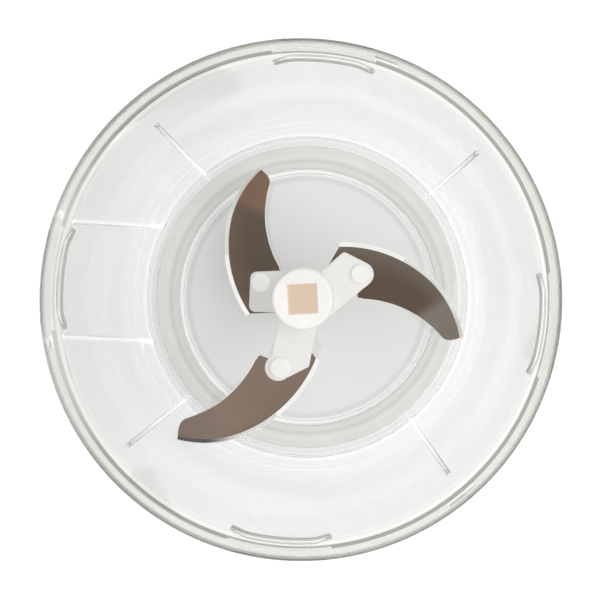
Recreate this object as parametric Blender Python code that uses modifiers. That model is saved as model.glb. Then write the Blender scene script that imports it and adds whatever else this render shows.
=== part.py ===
"""Open bowl of a manual food processor with its three-blade unit.

A clear drafted bowl stands on a soft ring. A steel pin in its centre boss carries the
blade unit: three arm holders stacked on a square core, each with a serrated sickle
blade that a studded plate clamps under its arm. Metres, +Z up, origin on the standing
plane under the bowl's centre.
"""

import math

import bmesh
import bpy
from mathutils import Matrix

# Gap left between two pieces where one seats on or runs in the other
CLEARANCE = 0.0003

# Bowl moulding
BOWL_HEIGHT = 0.100
RIM_OUTER_RADIUS = 0.0808
RIM_WIDTH = 0.0042
DRAFT_RUN = 0.0126
WALL = 0.0023
FLOOR_THICKNESS = 0.0025
FLOOR_FILLET = 0.0060
RIM_BAND_HEIGHT = 0.0050
RIM_ROUND = 0.0008
MOUTH_ROUND = 0.0004
BOWL_STEPS = 88

# Foot of the bowl: the floor stands this high, the foot ring stops short of the table
FOOT_HEIGHT = 0.0035
FOOT_LIFT = 0.0006
FOOT_INSET = 0.0020
FOOT_WIDTH = 0.0036
INNER_LIP_WIDTH = 0.0015
INNER_LIP_DROP = 0.0019

# Centre boss, above and below the floor
BOSS_WALL = 0.0037
BOSS_RISE = 0.0020
BOSS_DRAFT = 0.0006
UNDER_BOSS_WALL = 0.0029
UNDER_BOSS_DROP = 0.0020
PIN_SEAT_SKIN = 0.0010

# Four bayonet lugs inside the rim, each with ramped ends, and the pocket moulded behind each
LUG_AZIMUTHS = (84.5, 175.0, 265.0, 354.0)
LUG_SWEEP = 24.2
LUG_STATIONS = 6
LUG_TOP_DROP = 0.0035
LUG_THICKNESS = 0.0025
LUG_REACH = 0.0022
LUG_RAMP_SWEEP = 4.5
LUG_RAMP_DROP = 0.0040
POCKET_SWEEP = 20.0
POCKET_TOP_SKIN = 0.0016
POCKET_DEPTH = 0.0016

# Four slim ribs on the inner wall
INNER_RIB_AZIMUTHS = (40.0, 130.0, 220.0, 310.0)
INNER_RIB_WIDTH = 0.0016
INNER_RIB_HEIGHT = 0.0018
INNER_RIB_TOP_DROP = 0.0215
INNER_RIB_TOE = 0.0050

# Two upright ribs on the outer wall that frame the grip under one lug
GRIP_AZIMUTH = 175.0
GRIP_RIB_WIDTH = 0.0020
GRIP_RIB_HEIGHT = 0.0015
GRIP_RIB_TOP_DROP = 0.0085
GRIP_RIB_BOTTOM = 0.0040
GRIP_HALF_WIDTH_TOP = 0.0185
GRIP_HALF_WIDTH_BOTTOM = 0.0226

# A rib bites this deep into the wall that it stands on
RIB_BITE = 0.0011

# Soft ring in the groove under the floor
RING_WIDTH = 0.0084
RING_INNER_LAND = 0.0029
RING_OUTER_LAND = 0.0025
RING_GROOVE_DEPTH = 0.0010
RING_STEPS = 56

# Steel pin and the bearing bush that runs on it
PIN_RADIUS = 0.0030
PIN_CHAMFER = 0.0005
PIN_END_GAP = 0.0020
BUSH_WALL = 0.0012
BUSH_FLANGE_WIDTH = 0.0020
BUSH_FLANGE_THICKNESS = 0.0012
BUSH_TOP_GAP = 0.0025
BUSH_BEAD_HEIGHT = 0.0004
BUSH_BEAD_RISE = 0.0060
BUSH_BEAD_LENGTH = 0.0014

# Square core with the drive socket at its top and the pivot bore at its foot
CORE_BORE_WALL = 0.0008
CORE_CORNER = 0.0012
CORE_FLANGE_INSET = 0.0003
CORE_FLANGE_THICKNESS = 0.0012
CORE_WEB = 0.0082
SOCKET_WALL = 0.00105
SOCKET_CORNER = 0.0003
SOCKET_DEPTH = 0.0300
SOCKET_TURN = 3.0

# Stack of arm holders
ARM_SPACING = 0.0200
ARM_RISE = 0.0147
ARM_THICKNESS = 0.0034
ARM_EDGE_ROUND = 0.0006
SPACER_WALL = 0.0009
HUB_STEP = 0.0012
HUB_STEP_RISE = 0.0008
HUB_EDGE_ROUND = 0.0006
COLLAR_RISE = 0.0160
COLLAR_TAPER = 0.0009
COLLAR_LIP = 0.0010
TURN_STEPS = 40
SMALL_TURN_STEPS = 20

# Blade, in its own frame: the stud is at 0, 0 and the tip lies towards +X
BLADE_THICKNESS = 0.0010
BEVEL_WIDTH = 0.0016
SWEEP_INSET = 0.0008
ROOT_CORNER = (-0.0123, -0.0003)
TIP_CORNER_Y = 0.0154
BELLY = (-0.0212, 0.0189)
TIP_CONTROL = (-0.0011, 0.0103)
BACK_TIP = (-0.0044, 0.0102)
BACK_ROOT = (0.0077, -0.0046)
ROOT_ARC_BULGE = 0.0037
TIP_ARC_BULGE = 0.0016
BACK_ARC_BULGE = 0.0032
EAR_CENTRE = (0.0062, -0.0046)
EAR_RADIUS = 0.0010
NOTCH = (0.0033, -0.0037)
TONGUE = ((0.0001, -0.0073), (-0.0077, -0.0107))
SERRATION_START = 0.40
TOOTH_PITCH = 0.0010
TOOTH_DEPTH = 0.00035
SMOOTH_STEP = 0.0020
TIP_BEND_PLACE = 0.0240
TIP_BEND = 2.5

# Clamp plate with its stud and locating peg, in the blade's frame
CLAMP_THICKNESS = 0.0020
CLAMP_STUD_END_RADIUS = 0.0039
CLAMP_PEG_END_RADIUS = 0.0022
STUD_RADIUS = 0.0020
STUD_HEAD_RADIUS = 0.0034
STUD_HEAD_THICKNESS = 0.0010
STUD_HEAD_ROUND = 0.0003
PEG_PLACE = (-0.0040, -0.0035)
PEG_RADIUS = 0.0008
PEG_RISE = 0.0012
JOIN_BITE = 0.0005
WELD_DISTANCE = 0.0000002

# Each level, in its arm's frame: +X runs out along the arm from the column's side and
# +Y is the side that leads. The end circles round the arm's end, a lobe swells round the
# stud, and the blade points this many degrees away from its arm.
LEVELS = {
    "lower": {
        "index": 0,
        "azimuth": 175.0,
        "leading_edge": 0.0057,
        "trailing_edge": 0.0104,
        "end_circles": ((0.0091, 0.0046, 0.0023), (0.0094, -0.0055, 0.0025)),
        "lobes": (),
        "stud": (0.0079, -0.0041),
        "blade_turn": -106.4,
    },
    "middle": {
        "index": 1,
        "azimuth": 41.0,
        "leading_edge": 0.0034,
        "trailing_edge": 0.0105,
        "end_circles": ((0.0108, 0.0019, 0.0015), (0.0112, -0.0067, 0.0044)),
        "lobes": (),
        "stud": (0.0110, -0.0065),
        "blade_turn": -95.1,
    },
    "upper": {
        "index": 2,
        "azimuth": 260.0,
        "leading_edge": 0.0059,
        "trailing_edge": 0.0074,
        "end_circles": ((0.0124, 0.0048, 0.0010), (0.0138, -0.0029, 0.0045)),
        "lobes": ((0.0150, -0.0044, 0.0045),),
        "stud": (0.0149, -0.0037),
        "blade_turn": -67.7,
    },
}

# Radii of the bowl that follow from the sizes above
MOUTH_RADIUS = RIM_OUTER_RADIUS - RIM_WIDTH
FLOOR_EDGE_RADIUS = MOUTH_RADIUS - DRAFT_RUN
FOOT_OUTER_RADIUS = FLOOR_EDGE_RADIUS - FOOT_INSET
LUG_INNER_RADIUS = MOUTH_RADIUS - LUG_REACH
RING_OUTER_RADIUS = FOOT_OUTER_RADIUS - FOOT_WIDTH - CLEARANCE
RING_INNER_RADIUS = RING_OUTER_RADIUS - RING_WIDTH
PIN_HOLE_RADIUS = PIN_RADIUS + CLEARANCE
BOSS_RADIUS = PIN_HOLE_RADIUS + BOSS_WALL
UNDER_BOSS_RADIUS = PIN_HOLE_RADIUS + UNDER_BOSS_WALL

# Radii of the blade unit, from the pin outwards
BUSH_BORE_RADIUS = PIN_RADIUS + CLEARANCE
BUSH_OUTER_RADIUS = BUSH_BORE_RADIUS + BUSH_WALL
BUSH_FLANGE_RADIUS = BUSH_OUTER_RADIUS + BUSH_FLANGE_WIDTH
CORE_BORE_RADIUS = BUSH_OUTER_RADIUS + CLEARANCE
CORE_SIDE = 2 * (CORE_BORE_RADIUS + BUSH_BEAD_HEIGHT + CORE_BORE_WALL)
SOCKET_SIDE = CORE_SIDE - 2 * SOCKET_WALL
HOLDER_BORE_SIDE = CORE_SIDE + 2 * CLEARANCE
HOLDER_BORE_REACH = math.sqrt(2) * (HOLDER_BORE_SIDE / 2 - CORE_CORNER) + CORE_CORNER
SPACER_RADIUS = HOLDER_BORE_REACH + SPACER_WALL
HUB_RADIUS = SPACER_RADIUS + HUB_STEP
COLLAR_TOP_RADIUS = HUB_RADIUS - COLLAR_TAPER
CORE_FLANGE_RADIUS = SPACER_RADIUS - CORE_FLANGE_INSET

# Heights that follow from the sizes above
FLOOR_TOP = FOOT_HEIGHT + FLOOR_THICKNESS
BOSS_TOP = FLOOR_TOP + BOSS_RISE
PIN_SEAT = FOOT_HEIGHT - UNDER_BOSS_DROP + PIN_SEAT_SKIN
BUSH_BOTTOM = BOSS_TOP + CLEARANCE
CORE_BOTTOM = BUSH_BOTTOM + BUSH_FLANGE_THICKNESS + CLEARANCE
STACK_BOTTOM = CORE_BOTTOM + CORE_FLANGE_THICKNESS + CLEARANCE
ARM_BOTTOM = ARM_RISE - ARM_THICKNESS
COLLAR_TOP = STACK_BOTTOM + 2 * ARM_SPACING + ARM_RISE + COLLAR_RISE
CORE_TOP = COLLAR_TOP - COLLAR_LIP - CLEARANCE
SOCKET_FLOOR = COLLAR_TOP - SOCKET_DEPTH
BORE_TOP = SOCKET_FLOOR - CORE_WEB
PIN_TOP = BORE_TOP - PIN_END_GAP
BUSH_TOP = PIN_TOP - BUSH_TOP_GAP
BEAD_BOTTOM = BUSH_BOTTOM + BUSH_BEAD_RISE
BEAD_TOP = BEAD_BOTTOM + BUSH_BEAD_LENGTH

# A peg passes the blade and its two gaps, then reaches this far into the arm
PEG_HEIGHT = 2 * CLEARANCE + BLADE_THICKNESS + PEG_RISE


# Outlines: lists of points, with round stretches computed


def arc(centre, radius, start, end, steps):
    """Points of an arc about a centre, from start to end in degrees, both ends included."""
    points = []
    for step in range(steps + 1):
        angle = math.radians(start + (end - start) * step / steps)
        points.append((centre[0] + radius * math.cos(angle), centre[1] + radius * math.sin(angle)))
    return points


def bowed(start, end, bulge):
    """The circle through two points whose arc bulges to the left of the way between them.

    Given as centre, radius, and the angles in degrees at start and end, which run clockwise.
    """
    chord_x = end[0] - start[0]
    chord_y = end[1] - start[1]
    half = math.hypot(chord_x, chord_y) / 2
    radius = (half**2 + bulge**2) / (2 * bulge)
    left = (-chord_y / (2 * half), chord_x / (2 * half))
    inward = radius - bulge
    centre = (
        (start[0] + end[0]) / 2 - left[0] * inward,
        (start[1] + end[1]) / 2 - left[1] * inward,
    )
    middle = math.degrees(math.atan2(left[1], left[0]))
    reach = math.degrees(math.asin(half / radius))
    return centre, radius, middle + reach, middle - reach


def bend_between(start, control, end, steps):
    """Points of a soft bend from start to end that leans towards the control point."""
    points = []
    for step in range(steps + 1):
        t = step / steps
        weights = ((1 - t) ** 2, 2 * t * (1 - t), t**2)
        points.append(
            tuple(sum(w * p[axis] for w, p in zip(weights, (start, control, end))) for axis in (0, 1))
        )
    return points


def rounded_square(side, corner):
    """Outline of a square about the origin with rounded corners."""
    reach = side / 2 - corner
    points = []
    for quarter, (sign_x, sign_y) in enumerate(((1, 1), (-1, 1), (-1, -1), (1, -1))):
        points += arc((sign_x * reach, sign_y * reach), corner, 90 * quarter, 90 * quarter + 90, 4)
    return points


def taut_outline(points):
    """The outline of a band pulled taut round the points, counter-clockwise."""

    def turns_left(a, b, c):
        return (b[0] - a[0]) * (c[1] - a[1]) - (b[1] - a[1]) * (c[0] - a[0]) > 1e-12

    def half(ordered):
        chain = []
        for point in ordered:
            while len(chain) > 1 and not turns_left(chain[-2], chain[-1], point):
                chain.pop()
            chain.append(point)
        return chain[:-1]

    ordered = sorted(set(points))
    return half(ordered) + half(ordered[::-1])


def turned_about(point, degrees):
    """A plan point turned about the origin."""
    angle = math.radians(degrees)
    return (
        point[0] * math.cos(angle) - point[1] * math.sin(angle),
        point[0] * math.sin(angle) + point[1] * math.cos(angle),
    )


# Solids: each helper makes one mesh object


def place_in(collection, name, mesh):
    """A new object of the mesh in the collection."""
    body = bpy.data.objects.new(name, mesh)
    collection.objects.link(body)
    return body


def turned(name, profile, steps=TURN_STEPS, closed=False):
    """Solid of revolution about Z from a profile of radius and height that runs down its outer side."""
    mesh = bpy.data.meshes.new(name)
    edges = [(i, i + 1) for i in range(len(profile) - 1)]
    if closed:
        edges.append((len(profile) - 1, 0))
    mesh.from_pydata([(radius, 0, height) for radius, height in profile], edges, [])
    body = place_in(WORKSHOP, name, mesh)
    screw = body.modifiers.new("turn", "SCREW")
    screw.axis = "Z"
    screw.steps = steps
    screw.render_steps = steps
    screw.use_merge_vertices = True
    screw.merge_threshold = WELD_DISTANCE
    return settle(body)


def plate(name, outline, low, high, edge_round=0.0):
    """Flat piece: a plan outline filled and extruded from one height to another."""
    curve = bpy.data.curves.new(name, "CURVE")
    curve.dimensions = "2D"
    curve.fill_mode = "BOTH"
    curve.extrude = (high - low) / 2
    spline = curve.splines.new("POLY")
    spline.points.add(len(outline) - 1)
    for point, (x, y) in zip(spline.points, outline):
        point.co = (x, y, 0, 1)
    spline.use_cyclic_u = True
    flat = place_in(WORKSHOP, name, curve)
    flat.location.z = (low + high) / 2
    body = settle(flat)
    if edge_round:
        bevel = body.modifiers.new("edge_round", "BEVEL")
        bevel.width = edge_round
        bevel.segments = 1
        bevel.limit_method = "ANGLE"
        bevel.angle_limit = math.radians(60)
        body = settle(body)
    return body


def lofted(name, rings):
    """Closed solid through rings of points, point for point, with a cap at each end."""
    loft = bmesh.new()
    rows = [[loft.verts.new(point) for point in ring] for ring in rings]
    count = len(rings[0])
    for low_row, high_row in zip(rows, rows[1:]):
        for i in range(count):
            j = (i + 1) % count
            loft.faces.new((low_row[i], low_row[j], high_row[j], high_row[i]))
    loft.faces.new(rows[0][::-1])
    loft.faces.new(rows[-1])
    bmesh.ops.triangulate(loft, faces=loft.faces[:])
    bmesh.ops.recalc_face_normals(loft, faces=loft.faces)
    mesh = bpy.data.meshes.new(name)
    loft.to_mesh(mesh)
    loft.free()
    return place_in(WORKSHOP, name, mesh)


def cylinder(name, x, y, radius, low, high, sides=20):
    """Upright cylinder from one height to another."""
    mesh = bpy.data.meshes.new(name)
    rod = bmesh.new()
    bmesh.ops.create_cone(
        rod, cap_ends=True, segments=sides, radius1=radius, radius2=radius, depth=high - low
    )
    bmesh.ops.translate(rod, verts=rod.verts, vec=(x, y, (low + high) / 2))
    rod.to_mesh(mesh)
    rod.free()
    return place_in(WORKSHOP, name, mesh)


def settle(body):
    """The body with its modifiers applied, its place in its mesh and its seams welded."""
    bpy.context.view_layer.update()
    depsgraph = bpy.context.evaluated_depsgraph_get()
    mesh = bpy.data.meshes.new_from_object(body.evaluated_get(depsgraph))
    mesh.transform(body.matrix_world)
    mesh.name = body.name
    name = body.name
    old = body.data
    bpy.data.objects.remove(body)
    if isinstance(old, bpy.types.Curve):
        bpy.data.curves.remove(old)
    else:
        bpy.data.meshes.remove(old)
    weld = bmesh.new()
    weld.from_mesh(mesh)
    bmesh.ops.remove_doubles(weld, verts=weld.verts, dist=WELD_DISTANCE)
    bmesh.ops.recalc_face_normals(weld, faces=weld.faces)
    weld.to_mesh(mesh)
    weld.free()
    return place_in(WORKSHOP, name, mesh)


def shaped(body, operation, tools):
    """The body after a Boolean with each tool, which is used up."""
    for tool in tools:
        tool.display_type = "WIRE"
        tool.hide_render = True
        step = body.modifiers.new(tool.name, "BOOLEAN")
        step.operation = operation
        step.solver = "EXACT"
        step.object = tool
    body = settle(body)
    for tool in tools:
        bpy.data.objects.remove(tool)
    return body


def finished(body, collection, finish, parent=None, place=(0, 0, 0), turn=0.0):
    """The piece in the object's collection, with its finish, shading and place."""
    mesh = body.data
    mesh.shade_smooth()
    mesh.set_sharp_from_angle(angle=math.radians(30))
    mesh.materials.clear()
    mesh.materials.append(finish)
    WORKSHOP.objects.unlink(body)
    collection.objects.link(body)
    body.parent = parent
    body.location = place
    body.rotation_euler.z = math.radians(turn)
    return body


def finish_of(name, colour, roughness, metallic=0.0, transmission=0.0):
    """A plain finish."""
    finish = bpy.data.materials.new(name)
    finish.use_nodes = True
    shader = finish.node_tree.nodes["Principled BSDF"]
    shader.inputs["Base Color"].default_value = (*colour, 1)
    shader.inputs["Roughness"].default_value = roughness
    shader.inputs["Metallic"].default_value = metallic
    shader.inputs["Transmission Weight"].default_value = transmission
    return finish


# Bowl


def draft_angle():
    """Lean of the wall from upright, in degrees."""
    return math.degrees(math.atan2(MOUTH_RADIUS - FLOOR_EDGE_RADIUS, BOWL_HEIGHT - FLOOR_TOP))


def wall_inside(height):
    """Inner radius of the wall's straight line at a height."""
    share = (height - FLOOR_TOP) / (BOWL_HEIGHT - FLOOR_TOP)
    return FLOOR_EDGE_RADIUS + (MOUTH_RADIUS - FLOOR_EDGE_RADIUS) * share


def wall_outside(height):
    """Outer radius of the wall's straight line at a height."""
    return wall_inside(height) + WALL / math.cos(math.radians(draft_angle()))


def fillet_centre():
    """Centre of the round between floor and wall, as radius and height."""
    height = FLOOR_TOP + FLOOR_FILLET
    return (wall_inside(height) - FLOOR_FILLET / math.cos(math.radians(draft_angle())), height)


def bowl_profile():
    """Section of the bowl: up the inside from the pin seat, over the rim and down the outside."""
    centre = fillet_centre()
    draft = draft_angle()
    boss = [
        (0, PIN_SEAT),
        (PIN_HOLE_RADIUS, PIN_SEAT),
        (PIN_HOLE_RADIUS, BOSS_TOP),
        (BOSS_RADIUS - BOSS_DRAFT, BOSS_TOP),
        (BOSS_RADIUS, FLOOR_TOP),
    ]
    inner_corner = arc(centre, FLOOR_FILLET, -90, -draft, 4)
    mouth = arc(
        (MOUTH_RADIUS + MOUTH_ROUND, BOWL_HEIGHT - MOUTH_ROUND), MOUTH_ROUND, 180, 90, 1
    )
    rim = arc(
        (RIM_OUTER_RADIUS - RIM_ROUND, BOWL_HEIGHT - RIM_ROUND), RIM_ROUND, 90, 0, 2
    )
    band_bottom = BOWL_HEIGHT - RIM_BAND_HEIGHT
    band_step = RIM_OUTER_RADIUS - wall_outside(band_bottom)
    band = [
        (RIM_OUTER_RADIUS, band_bottom),
        (wall_outside(band_bottom - band_step), band_bottom - band_step),
    ]
    outer_radius = FLOOR_FILLET + WALL
    foot_angle = -math.degrees(math.acos((FOOT_OUTER_RADIUS - centre[0]) / outer_radius))
    outer_corner = arc(centre, outer_radius, -draft, foot_angle, 4)
    groove_outer = FOOT_OUTER_RADIUS - FOOT_WIDTH
    groove_inner = RING_INNER_RADIUS - CLEARANCE
    foot = [
        (FOOT_OUTER_RADIUS, FOOT_LIFT),
        (groove_outer, FOOT_LIFT),
        (groove_outer, FOOT_HEIGHT),
        (groove_inner, FOOT_HEIGHT),
        (groove_inner, FOOT_HEIGHT - INNER_LIP_DROP),
        (groove_inner - INNER_LIP_WIDTH, FOOT_HEIGHT - INNER_LIP_DROP),
        (groove_inner - INNER_LIP_WIDTH, FOOT_HEIGHT),
        (UNDER_BOSS_RADIUS, FOOT_HEIGHT),
        (UNDER_BOSS_RADIUS, FOOT_HEIGHT - UNDER_BOSS_DROP),
        (0, FOOT_HEIGHT - UNDER_BOSS_DROP),
    ]
    return boss + inner_corner + mouth + rim + band + outer_corner + foot


def lug(azimuth):
    """Bayonet lug: an arc-shaped shelf inside the rim whose ends ramp down along the wall."""
    half = LUG_SWEEP / 2
    level_half = half - LUG_RAMP_SWEEP
    level_angles = [level_half * (2 * i / LUG_STATIONS - 1) for i in range(LUG_STATIONS + 1)]
    stations = [(-half, LUG_RAMP_DROP)]
    stations += [(angle, 0.0) for angle in level_angles]
    stations += [(half, LUG_RAMP_DROP)]
    rings = []
    for angle, drop in stations:
        top = BOWL_HEIGHT - LUG_TOP_DROP - drop
        low = top - LUG_THICKNESS
        root_radius = wall_inside(low) + RIB_BITE
        along = math.radians(azimuth + angle)
        section = (
            (LUG_INNER_RADIUS, low),
            (root_radius, low),
            (root_radius, top),
            (LUG_INNER_RADIUS, top),
        )
        rings.append([(r * math.cos(along), r * math.sin(along), z) for r, z in section])
    return lofted("lug", rings)


def lug_pocket(azimuth):
    """Cutter for the pocket behind a lug, open below the rim's band."""
    half = POCKET_SWEEP / 2
    inner = arc((0, 0), RIM_OUTER_RADIUS - POCKET_DEPTH, azimuth - half, azimuth + half, 8)
    outer = arc((0, 0), RIM_OUTER_RADIUS + POCKET_DEPTH, azimuth + half, azimuth - half, 8)
    low = BOWL_HEIGHT - RIM_BAND_HEIGHT - 2 * POCKET_DEPTH
    return plate("lug_pocket", inner + outer, low, BOWL_HEIGHT - POCKET_TOP_SKIN)


def inner_rib(azimuth):
    """Slim rib that runs down the inner wall and out on the floor, round at its top."""
    centre = fillet_centre()
    draft = draft_angle()
    top = BOWL_HEIGHT - INNER_RIB_TOP_DROP
    top_centre = (wall_inside(top), top)
    round_top = arc(top_centre, INNER_RIB_HEIGHT, 90, 180, 4)
    free_corner = arc(centre, FLOOR_FILLET - INNER_RIB_HEIGHT, -draft, -60, 3)
    toe_radius = FLOOR_EDGE_RADIUS - INNER_RIB_TOE
    toe = [
        (toe_radius, FLOOR_TOP + INNER_RIB_HEIGHT / 3),
        (toe_radius, FLOOR_TOP - RIB_BITE),
    ]
    buried_corner = arc(centre, FLOOR_FILLET + RIB_BITE, -70, -draft, 4)
    buried_top = [(wall_inside(top) + RIB_BITE, top + INNER_RIB_HEIGHT)]
    outline = round_top + free_corner + toe + buried_corner + buried_top
    rib = plate("inner_rib", outline, -INNER_RIB_WIDTH / 2, INNER_RIB_WIDTH / 2)
    rib.rotation_euler = (math.radians(90), 0, math.radians(azimuth))
    return settle(rib)


def grip_rib(side):
    """Upright rib on the outer wall; the pair leans together towards the rim."""
    top = BOWL_HEIGHT - GRIP_RIB_TOP_DROP
    bottom = GRIP_RIB_BOTTOM
    centre = fillet_centre()
    draft = draft_angle()
    lean = (GRIP_HALF_WIDTH_TOP - GRIP_HALF_WIDTH_BOTTOM) / (top - bottom)

    def along(radius, height):
        offset = GRIP_HALF_WIDTH_BOTTOM + lean * (height - bottom)
        return (math.sqrt(radius**2 - offset**2), height)

    outer_corner = arc(centre, FLOOR_FILLET + WALL + GRIP_RIB_HEIGHT, -draft, -48, 4)
    inner_corner = arc(centre, FLOOR_FILLET + WALL - RIB_BITE, -62, -draft, 4)
    section = [
        (wall_outside(top), top),
        (wall_outside(top - GRIP_RIB_HEIGHT) + GRIP_RIB_HEIGHT, top - GRIP_RIB_HEIGHT),
        *outer_corner,
        (FOOT_OUTER_RADIUS + GRIP_RIB_HEIGHT / 2, bottom),
        (FOOT_OUTER_RADIUS - RIB_BITE, bottom),
        *inner_corner,
        (wall_outside(top) - RIB_BITE, top),
    ]
    outline = [along(radius, height) for radius, height in section]
    rib = plate("grip_rib", outline, -GRIP_RIB_WIDTH / 2, GRIP_RIB_WIDTH / 2)
    rib.rotation_euler.x = math.radians(90)
    rib = settle(rib)
    shear = Matrix.Identity(4)
    shear[1][2] = side * lean
    shear[1][3] = side * (GRIP_HALF_WIDTH_BOTTOM - lean * bottom)
    rib.data.transform(shear)
    rib.rotation_euler.z = math.radians(GRIP_AZIMUTH)
    return settle(rib)


def make_bowl(collection, finish):
    """Clear bowl with its rim, lugs, ribs, boss and foot."""
    body = turned("bowl", bowl_profile(), BOWL_STEPS)
    additions = [lug(azimuth) for azimuth in LUG_AZIMUTHS]
    additions += [inner_rib(azimuth) for azimuth in INNER_RIB_AZIMUTHS]
    additions += [grip_rib(side) for side in (-1, 1)]
    body = shaped(body, "UNION", additions)
    body = shaped(body, "DIFFERENCE", [lug_pocket(azimuth) for azimuth in LUG_AZIMUTHS])
    return finished(body, collection, finish)


def make_non_slip_ring(collection, finish):
    """Soft ring with a channel in its underside, in the groove under the floor."""
    top = FOOT_HEIGHT - CLEARANCE
    groove_inner = RING_INNER_RADIUS + RING_INNER_LAND
    groove_outer = RING_OUTER_RADIUS - RING_OUTER_LAND
    groove_draft = RING_GROOVE_DEPTH / 3
    profile = [
        (RING_INNER_RADIUS, 0),
        (RING_INNER_RADIUS, top),
        (RING_OUTER_RADIUS, top),
        (RING_OUTER_RADIUS, 0),
        (groove_outer, 0),
        (groove_outer - groove_draft, RING_GROOVE_DEPTH),
        (groove_inner + groove_draft, RING_GROOVE_DEPTH),
        (groove_inner, 0),
    ]
    return finished(turned("non_slip_ring", profile, RING_STEPS, closed=True), collection, finish)


# Pivot


def make_pivot_pin(collection, finish):
    """Steel pin moulded upright into the boss, with a domed top."""
    foot = PIN_SEAT + CLEARANCE
    dome = arc((0, PIN_TOP - PIN_RADIUS), PIN_RADIUS, 90, 0, 5)
    profile = dome + [
        (PIN_RADIUS, foot + PIN_CHAMFER),
        (PIN_RADIUS - PIN_CHAMFER, foot),
        (0, foot),
    ]
    return finished(turned("pivot_pin", profile, SMALL_TURN_STEPS), collection, finish)


def make_pivot_bush(collection, finish, axis):
    """Flanged bearing bush with a snap bead that sits in a groove of the core's bore."""
    bead_radius = BUSH_OUTER_RADIUS + BUSH_BEAD_HEIGHT
    flange_top = BUSH_BOTTOM + BUSH_FLANGE_THICKNESS
    profile = [
        (BUSH_BORE_RADIUS, BUSH_BOTTOM),
        (BUSH_BORE_RADIUS, BUSH_TOP),
        (BUSH_OUTER_RADIUS, BUSH_TOP),
        (BUSH_OUTER_RADIUS, BEAD_TOP),
        (bead_radius, (BEAD_BOTTOM + BEAD_TOP) / 2),
        (BUSH_OUTER_RADIUS, BEAD_BOTTOM),
        (BUSH_OUTER_RADIUS, flange_top),
        (BUSH_FLANGE_RADIUS, flange_top),
        (BUSH_FLANGE_RADIUS, BUSH_BOTTOM),
    ]
    return finished(turned("pivot_bush", profile, SMALL_TURN_STEPS, closed=True), collection, finish, axis)


# Blade unit


def make_drive_core(collection, finish, axis):
    """Square core: drive socket from the top, pivot bore from the foot, flange under the stack."""
    body = plate("drive_core", rounded_square(CORE_SIDE, CORE_CORNER), CORE_BOTTOM, CORE_TOP)
    flange_top = CORE_BOTTOM + CORE_FLANGE_THICKNESS
    flange = cylinder("flange", 0, 0, CORE_FLANGE_RADIUS, CORE_BOTTOM - JOIN_BITE, flange_top, TURN_STEPS)
    body = shaped(body, "UNION", [flange])
    base_trim = cylinder(
        "base_trim", 0, 0, 2 * CORE_FLANGE_RADIUS, CORE_BOTTOM - 2 * JOIN_BITE, CORE_BOTTOM, TURN_STEPS
    )
    socket = plate(
        "socket", rounded_square(SOCKET_SIDE, SOCKET_CORNER), SOCKET_FLOOR, COLLAR_TOP
    )
    bead_radius = CORE_BORE_RADIUS + BUSH_BEAD_HEIGHT
    bore = turned(
        "bore",
        [
            (0, BORE_TOP),
            (CORE_BORE_RADIUS, BORE_TOP),
            (CORE_BORE_RADIUS, BEAD_TOP + CLEARANCE),
            (bead_radius, (BEAD_BOTTOM + BEAD_TOP) / 2),
            (CORE_BORE_RADIUS, BEAD_BOTTOM - CLEARANCE),
            (CORE_BORE_RADIUS, CORE_BOTTOM - 2 * JOIN_BITE),
            (0, CORE_BOTTOM - 2 * JOIN_BITE),
        ],
        SMALL_TURN_STEPS,
    )
    body = shaped(body, "DIFFERENCE", [base_trim, socket, bore])
    return finished(body, collection, finish, axis, turn=SOCKET_TURN)


def hub_profile(is_top):
    """Outer side of a holder's column segment, in the holder's own heights."""
    if is_top:
        collar_top = ARM_RISE + COLLAR_RISE
        head = arc(
            (COLLAR_TOP_RADIUS - HUB_EDGE_ROUND, collar_top - HUB_EDGE_ROUND), HUB_EDGE_ROUND, 90, 0, 3
        )
        head.append((HUB_RADIUS, ARM_RISE))
    else:
        segment_top = ARM_SPACING - CLEARANCE
        head = arc(
            (HUB_RADIUS - HUB_EDGE_ROUND, segment_top - HUB_EDGE_ROUND), HUB_EDGE_ROUND, 90, 0, 2
        )
    step = ARM_BOTTOM + HUB_STEP_RISE
    skirt = [(HUB_RADIUS, step), (SPACER_RADIUS, step), (SPACER_RADIUS, 0)]
    return [(0, head[0][1])] + head + skirt + [(0, 0)]


def arm_outline(level):
    """Plan of an arm along +X: its two edges at the hub and the circles that round its end."""
    points = [(0, level["leading_edge"]), (0, -level["trailing_edge"])]
    for x, y, radius in level["end_circles"]:
        points += arc((SPACER_RADIUS + x, y), radius, 0, 342, 19)
    return taut_outline(points)


def stud_place(level):
    """Plan place of a level's stud in its arm's frame, with the column's axis at the origin."""
    return (SPACER_RADIUS + level["stud"][0], level["stud"][1])


def peg_place(level):
    """Plan place of a level's peg in its arm's frame."""
    stud_x, stud_y = stud_place(level)
    peg_x, peg_y = turned_about(PEG_PLACE, level["blade_turn"])
    return (stud_x + peg_x, stud_y + peg_y)


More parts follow.
